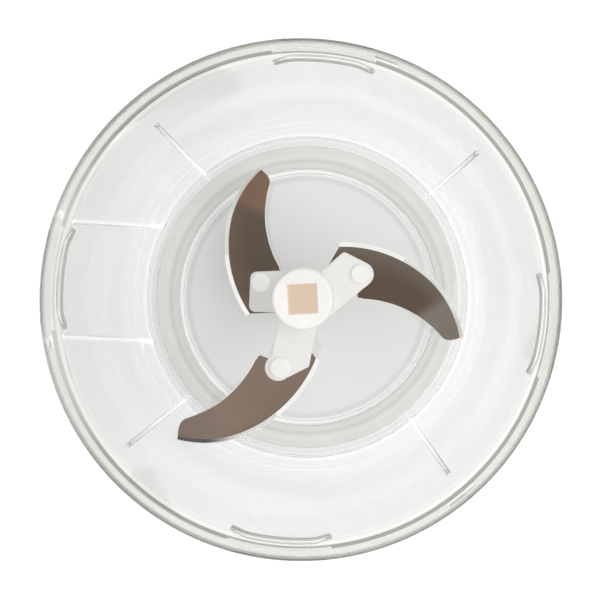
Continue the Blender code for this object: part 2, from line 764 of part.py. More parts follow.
def make_holder(name, level, collection, finish, axis):
    """Arm holder: a column segment with a square bore, and the arm that carries a blade."""
    is_top = level["index"] == len(LEVELS) - 1
    arm = plate("arm", arm_outline(level), ARM_BOTTOM, ARM_RISE, ARM_EDGE_ROUND)
    lobes = [
        plate("lobe", arc((SPACER_RADIUS + x, y), radius, 0, 345, 23), ARM_BOTTOM, ARM_RISE, ARM_EDGE_ROUND)
        for x, y, radius in level["lobes"]
    ]
    body = shaped(turned(name, hub_profile(is_top)), "UNION", [arm] + lobes)
    through = 2 * JOIN_BITE
    bore_top = ARM_RISE + COLLAR_RISE - COLLAR_LIP if is_top else ARM_SPACING + through
    cutters = [
        plate("square_bore", rounded_square(HOLDER_BORE_SIDE, CORE_CORNER), -through, bore_top)
    ]
    if is_top:
        mouth_top = ARM_RISE + COLLAR_RISE + through
        cutters.append(
            plate("mouth", rounded_square(SOCKET_SIDE, SOCKET_CORNER), ARM_RISE, mouth_top)
        )
    for cutter in cutters:
        cutter.rotation_euler.z = math.radians(SOCKET_TURN - level["azimuth"])
    stud_hole = cylinder(
        "stud_hole", *stud_place(level), STUD_RADIUS + CLEARANCE, ARM_BOTTOM - through, ARM_RISE + through
    )
    peg_top = ARM_BOTTOM + PEG_RISE + CLEARANCE
    peg_hole = cylinder(
        "peg_hole", *peg_place(level), PEG_RADIUS + CLEARANCE, ARM_BOTTOM - through, peg_top, 16
    )
    body = shaped(body, "DIFFERENCE", cutters + [stud_hole, peg_hole])
    place = (0, 0, STACK_BOTTOM + level["index"] * ARM_SPACING)
    return finished(body, collection, finish, axis, place, level["azimuth"])


def tip_reach():
    """Distance along the blade from stud to tip corner.

    It puts the upper blade's tip corner on the sweep radius: with the column's axis at
    (-a, -b) in the blade's frame, (a + x) squared + (b + y) squared is the radius squared.
    """
    level = LEVELS["upper"]
    stud_x, stud_y = turned_about(stud_place(level), -level["blade_turn"])
    sweep_radius = FLOOR_EDGE_RADIUS - SWEEP_INSET
    return math.sqrt(sweep_radius**2 - (stud_y + TIP_CORNER_Y) ** 2) - stud_x


def from_tip(point):
    """A point that is given from the tip corner along the blade, in the blade's frame."""
    return (tip_reach() + point[0], point[1])


def convex_arcs():
    """The two arcs of the blade's convex face line: root to belly, then belly to tip."""
    root_arc = bowed(ROOT_CORNER, from_tip(BELLY), ROOT_ARC_BULGE)
    tip_arc = bowed(from_tip(BELLY), from_tip((0, TIP_CORNER_Y)), TIP_ARC_BULGE)
    return root_arc, tip_arc


def arc_length(piece):
    """Length of an arc given as centre, radius, start and end angle."""
    return piece[1] * math.radians(abs(piece[2] - piece[3]))


def convex_at(distance):
    """Centre, radius and outward direction of the convex face line, this far from the root."""
    root_arc, tip_arc = convex_arcs()
    piece = root_arc
    if distance > arc_length(root_arc):
        distance -= arc_length(root_arc)
        piece = tip_arc
    angle = math.radians(piece[2]) - distance / piece[1]
    return piece[0], piece[1], (math.cos(angle), math.sin(angle))


def cutting_stations():
    """Distance from the root and gullet depth of each point along the cutting edge."""
    length = sum(arc_length(piece) for piece in convex_arcs())
    first_tooth = length * SERRATION_START
    smooth_steps = max(2, round(first_tooth / SMOOTH_STEP))
    teeth = max(1, math.floor((length - first_tooth) / TOOTH_PITCH))
    stations = [(first_tooth * step / smooth_steps, 0.0) for step in range(smooth_steps)]
    for tooth in range(teeth):
        start = first_tooth + tooth * TOOTH_PITCH
        stations.append((start, 0.0))
        stations.append((start + TOOTH_PITCH / 2, TOOTH_DEPTH))
    stations.append((length, 0.0))
    return stations


def blade_outlines():
    """Plan of the blade at its cutting edge and at its top face, point for point."""
    edge_line = []
    face_line = []
    for distance, gullet in cutting_stations():
        centre, radius, (out_x, out_y) = convex_at(distance)
        face_line.append((centre[0] + radius * out_x, centre[1] + radius * out_y))
        reach = radius + BEVEL_WIDTH - gullet
        edge_line.append((centre[0] + reach * out_x, centre[1] + reach * out_y))
    back = arc(*bowed(BACK_ROOT, from_tip(BACK_TIP), BACK_ARC_BULGE), 14)[::-1]
    tip = bend_between(face_line[-1], from_tip(TIP_CONTROL), back[0], 6)[1:-1]
    ear = arc(EAR_CENTRE, EAR_RADIUS, 0, -150, 4)
    shared = tip + back + ear + [NOTCH] + list(TONGUE)
    return edge_line + shared, face_line + shared


def blade_body(name):
    """Blade: a loft from its cutting outline to its top face, with the outer end bent down."""
    edge_outline, face_outline = blade_outlines()
    rings = (
        [(x, y, 0.0) for x, y in edge_outline],
        [(x, y, BLADE_THICKNESS) for x, y in face_outline],
    )
    body = lofted(name, rings)
    bend = bmesh.new()
    bend.from_mesh(body.data)
    bmesh.ops.bisect_plane(
        bend,
        geom=bend.verts[:] + bend.edges[:] + bend.faces[:],
        dist=WELD_DISTANCE,
        plane_co=(TIP_BEND_PLACE, 0, 0),
        plane_no=(1, 0, 0),
    )
    fall = math.tan(math.radians(TIP_BEND))
    for vertex in bend.verts:
        vertex.co.z -= fall * max(0.0, vertex.co.x - TIP_BEND_PLACE)
    bmesh.ops.triangulate(bend, faces=bend.faces[:])
    bend.to_mesh(body.data)
    bend.free()
    return body


def blade_height(level):
    """Height of a blade's underside."""
    arm_bottom = STACK_BOTTOM + level["index"] * ARM_SPACING + ARM_BOTTOM
    return arm_bottom - CLEARANCE - BLADE_THICKNESS


def on_stud(body, level, collection, finish, axis):
    """The finished piece with its origin on a level's stud, at the blade's underside."""
    place = (*turned_about(stud_place(level), level["azimuth"]), blade_height(level))
    return finished(body, collection, finish, axis, place, level["azimuth"] + level["blade_turn"])


def make_blade(name, level, collection, finish, axis):
    """Sickle blade with holes for the stud and the peg."""
    through = 2 * JOIN_BITE
    holes = [
        cylinder("stud_hole", 0, 0, STUD_RADIUS + CLEARANCE, -through, BLADE_THICKNESS + through),
        cylinder("peg_hole", *PEG_PLACE, PEG_RADIUS + CLEARANCE, -through, BLADE_THICKNESS + through, 16),
    ]
    body = shaped(blade_body(name), "DIFFERENCE", holes)
    return on_stud(body, level, collection, finish, axis)


def make_clamp(name, level, collection, finish, axis):
    """Clamp plate under a blade; its stud passes blade and arm and ends in the round head."""
    ends = arc((0, 0), CLAMP_STUD_END_RADIUS, 0, 342, 19)
    ends += arc(PEG_PLACE, CLAMP_PEG_END_RADIUS, 0, 342, 19)
    top = -CLEARANCE
    body = plate(name, taut_outline(ends), top - CLAMP_THICKNESS, top, ARM_EDGE_ROUND)
    head_low = CLEARANCE + BLADE_THICKNESS + ARM_THICKNESS + CLEARANCE
    head_high = head_low + STUD_HEAD_THICKNESS
    head_edge = (STUD_HEAD_RADIUS - STUD_HEAD_ROUND, head_high - STUD_HEAD_ROUND)
    stud = turned(
        "stud",
        [(0, head_high)]
        + arc(head_edge, STUD_HEAD_ROUND, 90, 0, 2)
        + [
            (STUD_HEAD_RADIUS, head_low),
            (STUD_RADIUS, head_low),
            (STUD_RADIUS, top - JOIN_BITE),
            (0, top - JOIN_BITE),
        ],
        SMALL_TURN_STEPS,
    )
    peg = cylinder("peg", *PEG_PLACE, PEG_RADIUS, top - JOIN_BITE, top + PEG_HEIGHT, 16)
    body = shaped(body, "UNION", [stud, peg])
    return on_stud(body, level, collection, finish, axis)


def clear_scene():
    """Empty the scene."""
    for body in list(bpy.data.objects):
        bpy.data.objects.remove(body)


def new_collection(name):
    """A collection in the scene."""
    collection = bpy.data.collections.new(name)
    bpy.context.scene.collection.children.link(collection)
    return collection


clear_scene()
WORKSHOP = new_collection("cutters")


def main():
    """Build the whole part."""
    processor = new_collection("manual_food_processor")
    clear_plastic = finish_of("clear_plastic", (0.95, 0.96, 0.95), 0.05, transmission=1.0)
    soft_ring = finish_of("translucent_rubber", (0.80, 0.80, 0.78), 0.55)
    white_plastic = finish_of("white_plastic", (0.86, 0.85, 0.83), 0.42)
    cream_plastic = finish_of("cream_plastic", (0.72, 0.60, 0.46), 0.5)
    blade_steel = finish_of("blade_steel", (0.42, 0.37, 0.33), 0.18, metallic=1.0)
    pin_steel = finish_of("pin_steel", (0.60, 0.60, 0.60), 0.25, metallic=1.0)
    bush_plastic = finish_of("bush_plastic", (0.75, 0.74, 0.70), 0.5)

    make_bowl(processor, clear_plastic)
    make_non_slip_ring(processor, soft_ring)
    make_pivot_pin(processor, pin_steel)

    axis = bpy.data.objects.new("blade_unit_axis", None)
    processor.objects.link(axis)
    make_pivot_bush(processor, bush_plastic, axis)
    make_drive_core(processor, cream_plastic, axis)
    for level_name, level in LEVELS.items():
        make_holder(f"{level_name}_holder", level, processor, white_plastic, axis)
        make_blade(f"{level_name}_blade", level, processor, blade_steel, axis)
        make_clamp(f"{level_name}_clamp", level, processor, white_plastic, axis)


main()
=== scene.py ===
# %% [markdown]
# # An open chopper bowl and its three-blade unit
# A clear plastic bowl stands on a soft ring. On a steel pin in its middle turns a white
# column with three arms, and each arm holds a brown-grey sickle blade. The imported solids
# give every place and size. This script dresses them: new surfaces where the plain solids
# are too coarse for clear plastic and ground steel, and a finish for every piece.

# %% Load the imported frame
import math

import bmesh
import bpy
import numpy as np
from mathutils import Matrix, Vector


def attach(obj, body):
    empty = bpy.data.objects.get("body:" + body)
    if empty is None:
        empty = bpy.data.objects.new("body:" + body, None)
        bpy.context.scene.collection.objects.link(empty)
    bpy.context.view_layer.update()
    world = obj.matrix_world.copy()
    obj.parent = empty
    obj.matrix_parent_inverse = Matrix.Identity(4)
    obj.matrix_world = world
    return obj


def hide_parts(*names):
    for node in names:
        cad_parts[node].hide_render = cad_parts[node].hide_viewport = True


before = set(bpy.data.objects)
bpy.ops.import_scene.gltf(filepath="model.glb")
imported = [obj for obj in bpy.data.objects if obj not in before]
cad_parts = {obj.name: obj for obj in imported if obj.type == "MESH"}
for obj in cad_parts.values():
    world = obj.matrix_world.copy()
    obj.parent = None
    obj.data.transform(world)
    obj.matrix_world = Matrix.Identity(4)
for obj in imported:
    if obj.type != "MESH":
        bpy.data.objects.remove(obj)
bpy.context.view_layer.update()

# %% [markdown]
# ## Grids of points
# Most new pieces are surfaces of two parameters: rows run along a section and columns run
# round the piece. A whole grid is one numpy array, so a single call makes the mesh. Where
# a row shrinks to one point, the doubles are merged and the surface closes in a fan.

# %% A mesh from a grid
WELD = 0.000001


def grid_object(
    name, grid, rows_close=False, columns_close=True, caps=False, smooth_angle=50.0, kept=None, zones=None
):
    """A piece from points[row, column]. Each cell of the grid becomes one four-sided face.

    Caps close the first and last row with one flat face each. Kept places are stored with
    the points under their names, and zones give each row of faces its material's number.
    """
    rows, columns = grid.shape[:2]
    index = np.arange(rows * columns).reshape(rows, columns)
    ends = [index[0, ::-1].tolist(), index[-1].tolist()] if caps else []
    if rows_close:
        index = np.vstack([index, index[:1]])
    if columns_close:
        index = np.hstack([index, index[:, :1]])
    corners = (index[:-1, :-1], index[:-1, 1:], index[1:, 1:], index[1:, :-1])
    faces = np.stack(corners, axis=-1).reshape(-1, 4)
    mesh = bpy.data.meshes.new(name)
    mesh.from_pydata(grid.reshape(-1, 3).tolist(), [], faces.tolist() + ends)
    for kept_name, places in (kept or {}).items():
        layer = mesh.attributes.new(kept_name, "FLOAT_VECTOR", "POINT")
        layer.data.foreach_set("vector", places.ravel())
    if zones is not None:
        mesh.polygons.foreach_set("material_index", np.repeat(zones, index.shape[1] - 1))
    merged = bmesh.new()
    merged.from_mesh(mesh)
    bmesh.ops.remove_doubles(merged, verts=merged.verts, dist=WELD)
    bmesh.ops.dissolve_degenerate(merged, edges=merged.edges, dist=WELD)
    bmesh.ops.recalc_face_normals(merged, faces=merged.faces)
    merged.to_mesh(mesh)
    merged.free()
    mesh.shade_smooth()
    mesh.set_sharp_from_angle(angle=math.radians(smooth_angle))
    piece = bpy.data.objects.new(name, mesh)
    bpy.context.scene.collection.objects.link(piece)
    print(name, len(mesh.polygons), "faces")
    return piece


# %% A section line with rounded corners
def rounded_line(corners, steps=5, hold=0.3):
    """Points along a line of (radius, height, round) corners.

    A corner with a round is cut back by round / tan(half its angle) on both sides and
    bridged by an arc about the point where the two sides' offsets meet. One more point on
    each side, a little further back, keeps the flats flat when the shading is smoothed.
    """
    line = []
    last = len(corners) - 1
    for place, (x, y, radius) in enumerate(corners):
        here = np.array((x, y))
        if radius == 0 or place in (0, last):
            line.append(here)
            continue
        back = np.array(corners[place - 1][:2]) - here
        ahead = np.array(corners[place + 1][:2]) - here
        back /= np.linalg.norm(back)
        ahead /= np.linalg.norm(ahead)
        half = math.acos(np.clip(back @ ahead, -1, 1)) / 2
        cut = radius / math.tan(half)
        middle = (back + ahead) / np.linalg.norm(back + ahead)
        centre = here + middle * radius / math.sin(half)
        start = here + back * cut - centre
        across = -middle * radius
        swing = math.acos(np.clip(start @ across / radius**2, -1, 1))
        side = start - across * math.cos(swing)
        side /= np.linalg.norm(side)
        line.append(here + back * (cut + hold * radius))
        for turn in np.linspace(swing, -swing, steps + 1):
            line.append(centre + across * math.cos(turn) + side * radius * math.sin(turn))
        line.append(here + ahead * (cut + hold * radius))
    return np.array(line)


# %% A turned piece
def turned(name, line, steps=96, loop=False, place=(0, 0, 0)):
    """Surface of revolution: point (r cos a, r sin a, z) for each (r, z) of the line and angle a."""
    angle = np.linspace(0, 2 * math.pi, steps, endpoint=False)
    radius = line[:, 0:1]
    height = np.repeat(line[:, 1:2], steps, axis=1)
    grid = np.stack([radius * np.cos(angle), radius * np.sin(angle), height], axis=-1)
    return grid_object(name, grid + np.array((place[0], place[1], 0)), rows_close=loop)


# %% [markdown]
# ## The bowl's section
# The bowl is one clear moulding, so it is one closed surface: up the inside from the pin
# seat, over the rim, and down the outside to the foot. Clear plastic shows every facet
# through refraction, so the rows are dense wherever the section bends or a detail ends.

# %% Sizes of the bowl
MM = 0.001
RIM_TOP = 100.0 * MM
RIM_OUTER = 80.8 * MM
MOUTH = 76.6 * MM
FLOOR_EDGE = 64.0 * MM
FLOOR_TOP = 6.0 * MM
UNDERSIDE = 3.5 * MM
WALL = 2.3 * MM
FILLET = 6.0 * MM
BAND_BOTTOM = 95.0 * MM
FOOT_OUTER = 62.0 * MM
FOOT_WIDTH = 3.6 * MM
DRAFT = math.atan2(MOUTH - FLOOR_EDGE, RIM_TOP - FLOOR_TOP)
print("wall leans", round(math.degrees(DRAFT), 2), "degrees")


def wall_inside(height):
    """Inner radius of the straight wall at a height."""
    return FLOOR_EDGE + (height - FLOOR_TOP) * math.tan(DRAFT)


def wall_outside(height):
    """Outer radius of the straight wall at a height."""
    return wall_inside(height) + WALL / math.cos(DRAFT)


CORNER_HEIGHT = FLOOR_TOP + FILLET
CORNER_RADIUS = wall_inside(CORNER_HEIGHT) - FILLET / math.cos(DRAFT)


def corner_arc(radius, angles):
    """Points of the round between floor and wall, at angles in degrees below level."""
    turn = np.radians(angles)
    return np.stack([CORNER_RADIUS + radius * np.cos(turn), CORNER_HEIGHT + radius * np.sin(turn)], -1)


# %% Inside of the section
PIN_HOLE = 3.3 * MM
BOSS_FOOT = 7.0 * MM
BOSS_TOP = 8.0 * MM
PIN_SEAT = 2.5 * MM
BOSS_LEAN = 0.6 * MM
boss = rounded_line(
    [
        (0, PIN_SEAT, 0),
        (PIN_HOLE, PIN_SEAT, 0.2 * MM),
        (PIN_HOLE, BOSS_TOP, 0.25 * MM),
        (BOSS_FOOT - BOSS_LEAN, BOSS_TOP, 0.4 * MM),
        (BOSS_FOOT, FLOOR_TOP, 0.8 * MM),
        (BOSS_FOOT + 3 * MM, FLOOR_TOP, 0),
    ]
)
floor = np.array([(r * MM, FLOOR_TOP) for r in (14, 20, 26, 32, 38, 44, 50, 54, 57, 58.3)])
fillet_angles = np.array([-90, -88.6, -87.6, -84, -79, -73, -66.5, -60, -50, -40, -30, -20, -12])
fillet = corner_arc(FILLET, fillet_angles)
# Heights in mm, close together where ribs and lugs begin or end
wall_heights = [12.5, 14, 17, 22, 28, 34, 40, 46, 52, 58, 64, 70, 74, 76.6, 77.9]
rib_top_heights = [78.5, 78.9, 79.25, 79.55, 79.8, 80.0, 80.15, 80.25, 80.3, 80.45]
lug_low_heights = [82.5, 85, 87.5, 89.5, 91.5, 93, 93.7, 93.92, 93.95, 93.98, 94.02, 94.08, 94.2]
lug_high_heights = [94.6, 95.25, 95.9, 96.3, 96.42, 96.48, 96.52, 96.55, 96.58, 96.8, 97.5, 98.3, 98.9]
inner_heights = np.array(wall_heights + rib_top_heights + lug_low_heights + lug_high_heights) * MM
wall = np.stack([wall_inside(inner_heights), inner_heights], -1)
inside = np.vstack([boss, floor, fillet, wall])
print(len(inside), "rows inside")

# %% Rim and outside of the section
MOUTH_ROUND = 0.7 * MM
MOUTH_LOW = 98.9 * MM
RIM_ROUND = 1.5 * MM
SMALL_ROUND = 0.3 * MM
BAR_EDGES = (77.62, 77.66, 77.94, 77.98)
BAND_STEP = RIM_OUTER - wall_outside(BAND_BOTTOM)
NECK_LOW = 92 * MM
rim = rounded_line(
    [
        (wall_inside(MOUTH_LOW), MOUTH_LOW, 0),
        (MOUTH, RIM_TOP, MOUTH_ROUND),
        *((r * MM, RIM_TOP, 0) for r in BAR_EDGES),
        (RIM_OUTER, RIM_TOP, RIM_ROUND),
        *((RIM_OUTER, z * MM, 0) for z in (97.6, 97.5, 96.2)),
        (RIM_OUTER, BAND_BOTTOM, SMALL_ROUND),
        (wall_outside(BAND_BOTTOM - BAND_STEP), BAND_BOTTOM - BAND_STEP, 0.5 * MM),
        (wall_outside(NECK_LOW), NECK_LOW, 0),
    ],
    steps=6,
)[1:-1]
outer_heights = [91.7, 91.5, 91.45, 90.9, 90, 89.6, 88, 84, *range(78, 13, -6), 14]
outer_heights = np.array(outer_heights) * MM
outer_wall = np.stack([wall_outside(outer_heights), outer_heights], -1)
FOOT_ANGLE = -math.degrees(math.acos((FOOT_OUTER - CORNER_RADIUS) / (FILLET + WALL)))
outer_corner = corner_arc(FILLET + WALL, np.linspace(-math.degrees(DRAFT), FOOT_ANGLE, 10))
print(len(rim) + len(outer_wall) + len(outer_corner), "rows on rim and outside")

# %% Foot and underside
RING_INNER = 49.7 * MM
GROOVE_INNER = RING_INNER - 0.3 * MM
LIP_INNER = GROOVE_INNER - 1.5 * MM
LIP_BOTTOM = UNDERSIDE - 1.9 * MM
FOOT_BOTTOM = 0.6 * MM
UNDER_BOSS = 6.2 * MM
UNDER_BOSS_BOTTOM = UNDERSIDE - 2 * MM
foot = rounded_line(
    [
        *((FOOT_OUTER, z * MM, 0) for z in (4.3, 4.05, 3.95)),
        (FOOT_OUTER, FOOT_BOTTOM, 0.4 * MM),
        (FOOT_OUTER - FOOT_WIDTH, FOOT_BOTTOM, SMALL_ROUND),
        (FOOT_OUTER - FOOT_WIDTH, UNDERSIDE, SMALL_ROUND),
        (GROOVE_INNER, UNDERSIDE, 0.2 * MM),
        (GROOVE_INNER, LIP_BOTTOM, SMALL_ROUND),
        (LIP_INNER, LIP_BOTTOM, SMALL_ROUND),
        (LIP_INNER, UNDERSIDE, SMALL_ROUND),
        *((r * MM, UNDERSIDE, 0) for r in (40, 30, 20, 12)),
        (UNDER_BOSS, UNDERSIDE, SMALL_ROUND),
        (UNDER_BOSS, UNDER_BOSS_BOTTOM, SMALL_ROUND),
        (0, UNDER_BOSS_BOTTOM, 0),
    ],
    steps=4,
)
section = np.vstack([inside, rim, outer_wall, outer_corner, foot])
is_inner = np.arange(len(section)) < len(inside)
is_outer = np.arange(len(section)) >= len(inside) + len(rim)
print(len(section), "rows in all")

# %% [markdown]
# ## Lugs and ribs as swellings of the surface
# Each detail pushes the surface by a row weight times a column weight, so the bowl stays
# one closed skin, as a moulding is. Columns gather along a detail's sides and follow it
# where it leans or keeps its width, so that its edges stay crisp.

# %% Row weights
radius = section[:, 0]
height = section[:, 1]
along = np.gradient(section, axis=0)
along /= np.maximum(np.linalg.norm(along, axis=1, keepdims=True), 1e-12)
into_bowl = np.stack([-along[:, 1], along[:, 0]], -1)
fillet_turn = np.degrees(np.arctan2(height - CORNER_HEIGHT, radius - CORNER_RADIUS))
on_fillet = is_inner & (height < CORNER_HEIGHT) & (radius > CORNER_RADIUS - 0.01 * MM)
above_foot = radius > FOOT_OUTER - 0.1 * MM
on_top = height > RIM_TOP - 0.05 * MM


def row_weight(chosen, place, marks, weights):
    """The weights at the marks in mm, with straight lines between them, on the chosen rows only."""
    return np.where(chosen, np.interp(place / MM, marks, weights), 0.0)


RIB_TOP = 78.5 * MM
RIB_HEIGHT = 1.8 * MM
rib_rows = np.where(on_fillet, np.interp(fillet_turn, [-88.5, -87.7, -60], [0, 0.34, 1]), 0.0)
rib_rows = np.where(is_inner & (height >= CORNER_HEIGHT), 1.0, rib_rows)
past_top = np.clip((height - RIB_TOP) / RIB_HEIGHT, 0, 1)
rib_rows = rib_rows * np.sqrt(1 - past_top**2)
LUG_REACH = 2.2 * MM
lug_marks = [93.9, 93.94, 93.97, 94.01, 94.07, 94.19, 96.31, 96.43, 96.49, 96.53, 96.56, 96.6]
lug_rows = row_weight(is_inner, height, lug_marks, [0, 0.05, 0.5, 0.90, 0.96, 1, 1, 0.96, 0.90, 0.5, 0.05, 0])
drop_rows = row_weight(is_inner, height, [82, 89.5, 97.5, 98.9], [0, 1, 1, 0])
grip_marks = [3.97, 4.03, 4.36, 9, 90, 91.5]
grip_rows = row_weight(is_outer & above_foot, height, grip_marks, [0, 0.5, 0.5, 1, 1, 0])
bar_rows = row_weight(~is_inner & on_top, radius, [77.63, 77.66, 77.94, 77.97], [0, 1, 1, 0])
print("rows moved by ribs", int((rib_rows > 0).sum()), "lugs", int((lug_rows > 0).sum()))

# %% Columns round the bowl
LUG_AZIMUTHS = (84.5, 175.0, 265.0, 354.0)
LUG_HALF = 12.1
RAMP = 4.5
RAMP_DROP = 4.0 * MM
EDGE_STEPS = (0.6, 0.16, 0.08, 0, -0.08, -0.16, -0.5)
RAMP_SHARES = (0.25, 0.5, 0.75, 1.0)
RIB_AZIMUTHS = (40.0, 130.0, 220.0, 310.0)
RIB_HALF_WIDTH = 0.8 * MM
GRIP_AZIMUTH = 175.0
GRIP_REFERENCE = 20.0
GRIP_RIB_HALF_WIDTH = 1.0 * MM
BARS = ((67.7, 73.0), (306.0, 312.5), (189.0, 191.0))
RIM_BAR_HEIGHT = 0.2 * MM
HALF_ACROSS = np.array([0.25, 0.55, 0.8, 0.94, 1.0, 1.12, 1.5])
ACROSS = np.concatenate([-HALF_ACROSS[::-1], [0], HALF_ACROSS])
SWELL = np.where(np.abs(ACROSS) < 1, 0.5 + 0.5 * np.cos(np.pi * ACROSS), 0) ** 0.7

# %% Columns at the details
columns = []
for azimuth in RIB_AZIMUTHS:
    columns += [(azimuth, a * RIB_HALF_WIDTH, s, 0.0) for a, s in zip(ACROSS, SWELL)]
for side in (-1, 1):
    turn = GRIP_AZIMUTH + side * GRIP_REFERENCE
    columns += [(turn, a * GRIP_RIB_HALF_WIDTH, 0.0, s) for a, s in zip(ACROSS, SWELL)]
edges = []
for azimuth in LUG_AZIMUTHS:
    for side in (-1, 1):
        edges += [azimuth + side * (LUG_HALF + step) for step in EDGE_STEPS]
        edges += [azimuth + side * (LUG_HALF - RAMP * share) for share in RAMP_SHARES]
for start, end in BARS:
    edges += [start - 0.05, start + 0.05, end - 0.05, end + 0.05]
columns += [(turn % 360, 0.0, 0.0, 0.0) for turn in edges]
REACH = 72 * MM
grips = [GRIP_AZIMUTH - GRIP_REFERENCE, GRIP_AZIMUTH + GRIP_REFERENCE]


# %% Columns between the details
def apart(turn, others):
    """Smallest angle between a column and the others, in degrees."""
    return np.abs((np.array(others) - turn + 180) % 360 - 180).min()


COLUMN_STEP = 1.44
CLEAR_OF_EDGE = 0.35
CLEAR_OF_RIB = 1.7
CLEAR_OF_GRIP = 2.7
for turn in np.arange(0, 360, COLUMN_STEP):
    clear = apart(turn, edges) > CLEAR_OF_EDGE and apart(turn, RIB_AZIMUTHS) > CLEAR_OF_RIB
    if clear and apart(turn, grips) > CLEAR_OF_GRIP:
        columns.append((turn, 0.0, 0.0, 0.0))
columns = np.array(sorted(columns, key=lambda c: c[0] + math.degrees(c[1] / REACH)))
base, offset, rib_columns, grip_columns = columns.T
print(len(columns), "columns")

# %% Column weights
SOFT = 0.12
RAMP_SPAN = (15, 18)
lug_columns = np.zeros(len(columns))
lug_drop = np.zeros(len(columns))
for azimuth in LUG_AZIMUTHS:
    away = np.abs((base - azimuth + 180) % 360 - 180)
    lug_columns += np.interp(away, [LUG_HALF - SOFT, LUG_HALF + SOFT], [1, 0])
    fall = np.clip((away - LUG_HALF + RAMP) / RAMP, 0, 1)
    back_up = np.interp(away, RAMP_SPAN, [RAMP_DROP, 0])
    lug_drop += np.where(away < RAMP_SPAN[0], RAMP_DROP * fall**2 * (3 - 2 * fall), back_up)
bar_columns = np.zeros(len(columns))
for start, end in BARS:
    bar_columns += np.interp(base, [start - 0.04, start + 0.04, end - 0.04, end + 0.04], [0, 1, 1, 0])
print("columns on lugs", int((lug_columns > 0).sum()))

# %% How far the grip's ribs stand apart
GRIP_HALF_TOP = 18.5 * MM
GRIP_HALF_BOTTOM = 22.6 * MM
GRIP_RIB_HEIGHT = 0.25 * MM
GRIP_SPREAD = 40.0
LEAST_RADIUS = 55 * MM
grip_half = np.interp(height, [4 * MM, 91.5 * MM], [GRIP_HALF_BOTTOM, GRIP_HALF_TOP])
grip_turn = np.degrees(np.arcsin(np.clip(grip_half / np.maximum(radius, 50 * MM), 0, 1)))
grip_turn = np.where(is_outer, grip_turn, GRIP_REFERENCE)
foot_turn = grip_turn[is_outer][len(outer_wall) + len(outer_corner)]
grip_turn = np.where(is_outer & (radius < FOOT_OUTER - 0.1 * MM), foot_turn, grip_turn)


# %% The bowl's surface
def bowl_points():
    """Points of the bowl's skin.

    Column angle: the columns within 40 degrees of the grip are stretched in proportion, so
    that its two ribs stand where the row says. A column beside a rib then keeps its distance
    in metres. Radius and height: the section, plus the details' weights times their sizes.
    """
    relative = (base - GRIP_AZIMUTH + 180) % 360 - 180
    size = np.abs(relative)[None, :]
    ribs_at = grip_turn[:, None]
    near = size * ribs_at / GRIP_REFERENCE
    far = ribs_at + (size - GRIP_REFERENCE) * (GRIP_SPREAD - ribs_at) / (GRIP_SPREAD - GRIP_REFERENCE)
    placed = np.where(size <= GRIP_REFERENCE, near, np.where(size < GRIP_SPREAD, far, size))
    turn = np.radians(GRIP_AZIMUTH + np.sign(relative)[None, :] * placed)
    turn = turn + offset[None, :] / np.maximum(radius, LEAST_RADIUS)[:, None]
    push = RIB_HEIGHT * rib_rows[:, None] * rib_columns[None, :]
    push = push - GRIP_RIB_HEIGHT * grip_rows[:, None] * grip_columns[None, :]
    across = radius[:, None] + into_bowl[:, 0:1] * push
    up = height[:, None] + into_bowl[:, 1:2] * push
    up = up - drop_rows[:, None] * lug_drop[None, :]
    across = across - np.outer(drop_rows, lug_drop) * math.tan(DRAFT)
    lug = np.outer(lug_rows, lug_columns)
    across = across - lug * (across - (MOUTH - LUG_REACH))
    up = up + RIM_BAR_HEIGHT * np.outer(bar_rows, bar_columns)
    return np.stack([across * np.cos(turn), across * np.sin(turn), up], -1)


# %% The bowl in place
on_lugs = np.outer(np.ones(len(section)), lug_columns)
detail = np.dstack([on_lugs, np.outer(rib_rows, rib_columns), np.outer(grip_rows, grip_columns)])
bowl = grid_object("clear_bowl", bowl_points(), smooth_angle=80, kept={"detail": detail})
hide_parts("bowl")
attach(bowl, "bowl")

# %% [markdown]
# ## Ring, pin and bush
# Three turned pieces. The soft ring has a channel underneath that makes two standing lips.
# It shows through the floor as pale circles. The steel pin has a domed top, and the bush
# that runs on it has a flange and a snap bead.

# %% Soft ring
RING_OUTER = 58.1 * MM
RING_TOP = 3.2 * MM
soft_ring = turned(
    "soft_ring",
    rounded_line(
        [
            (54 * MM, 1.0 * MM, 0),
            (52.93 * MM, 1.0 * MM, 0.3 * MM),
            (52.6 * MM, 0, 0.3 * MM),
            (RING_INNER, 0, 0.6 * MM),
            (RING_INNER, RING_TOP, 0.4 * MM),
            (RING_OUTER, RING_TOP, 0.4 * MM),
            (RING_OUTER, 0, 0.6 * MM),
            (55.6 * MM, 0, 0.3 * MM),
            (55.27 * MM, 1.0 * MM, 0.3 * MM),
            (54.2 * MM, 1.0 * MM, 0),
        ]
    ),
    steps=288,
    loop=True,
)
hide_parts("non_slip_ring")
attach(soft_ring, "bowl")

# %% Steel pin
PIN_RADIUS = 3.0 * MM
PIN_TOP = 41.8 * MM
PIN_BOTTOM = 2.8 * MM
pin = turned(
    "steel_pin",
    rounded_line(
        [
            (0, PIN_TOP, 0),
            (PIN_RADIUS, PIN_TOP, 2.9 * MM),
            (PIN_RADIUS, PIN_BOTTOM, 0.4 * MM),
            (0, PIN_BOTTOM, 0),
        ],
        steps=10,
    ),
    steps=64,
)
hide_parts("pivot_pin")
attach(pin, "bowl")

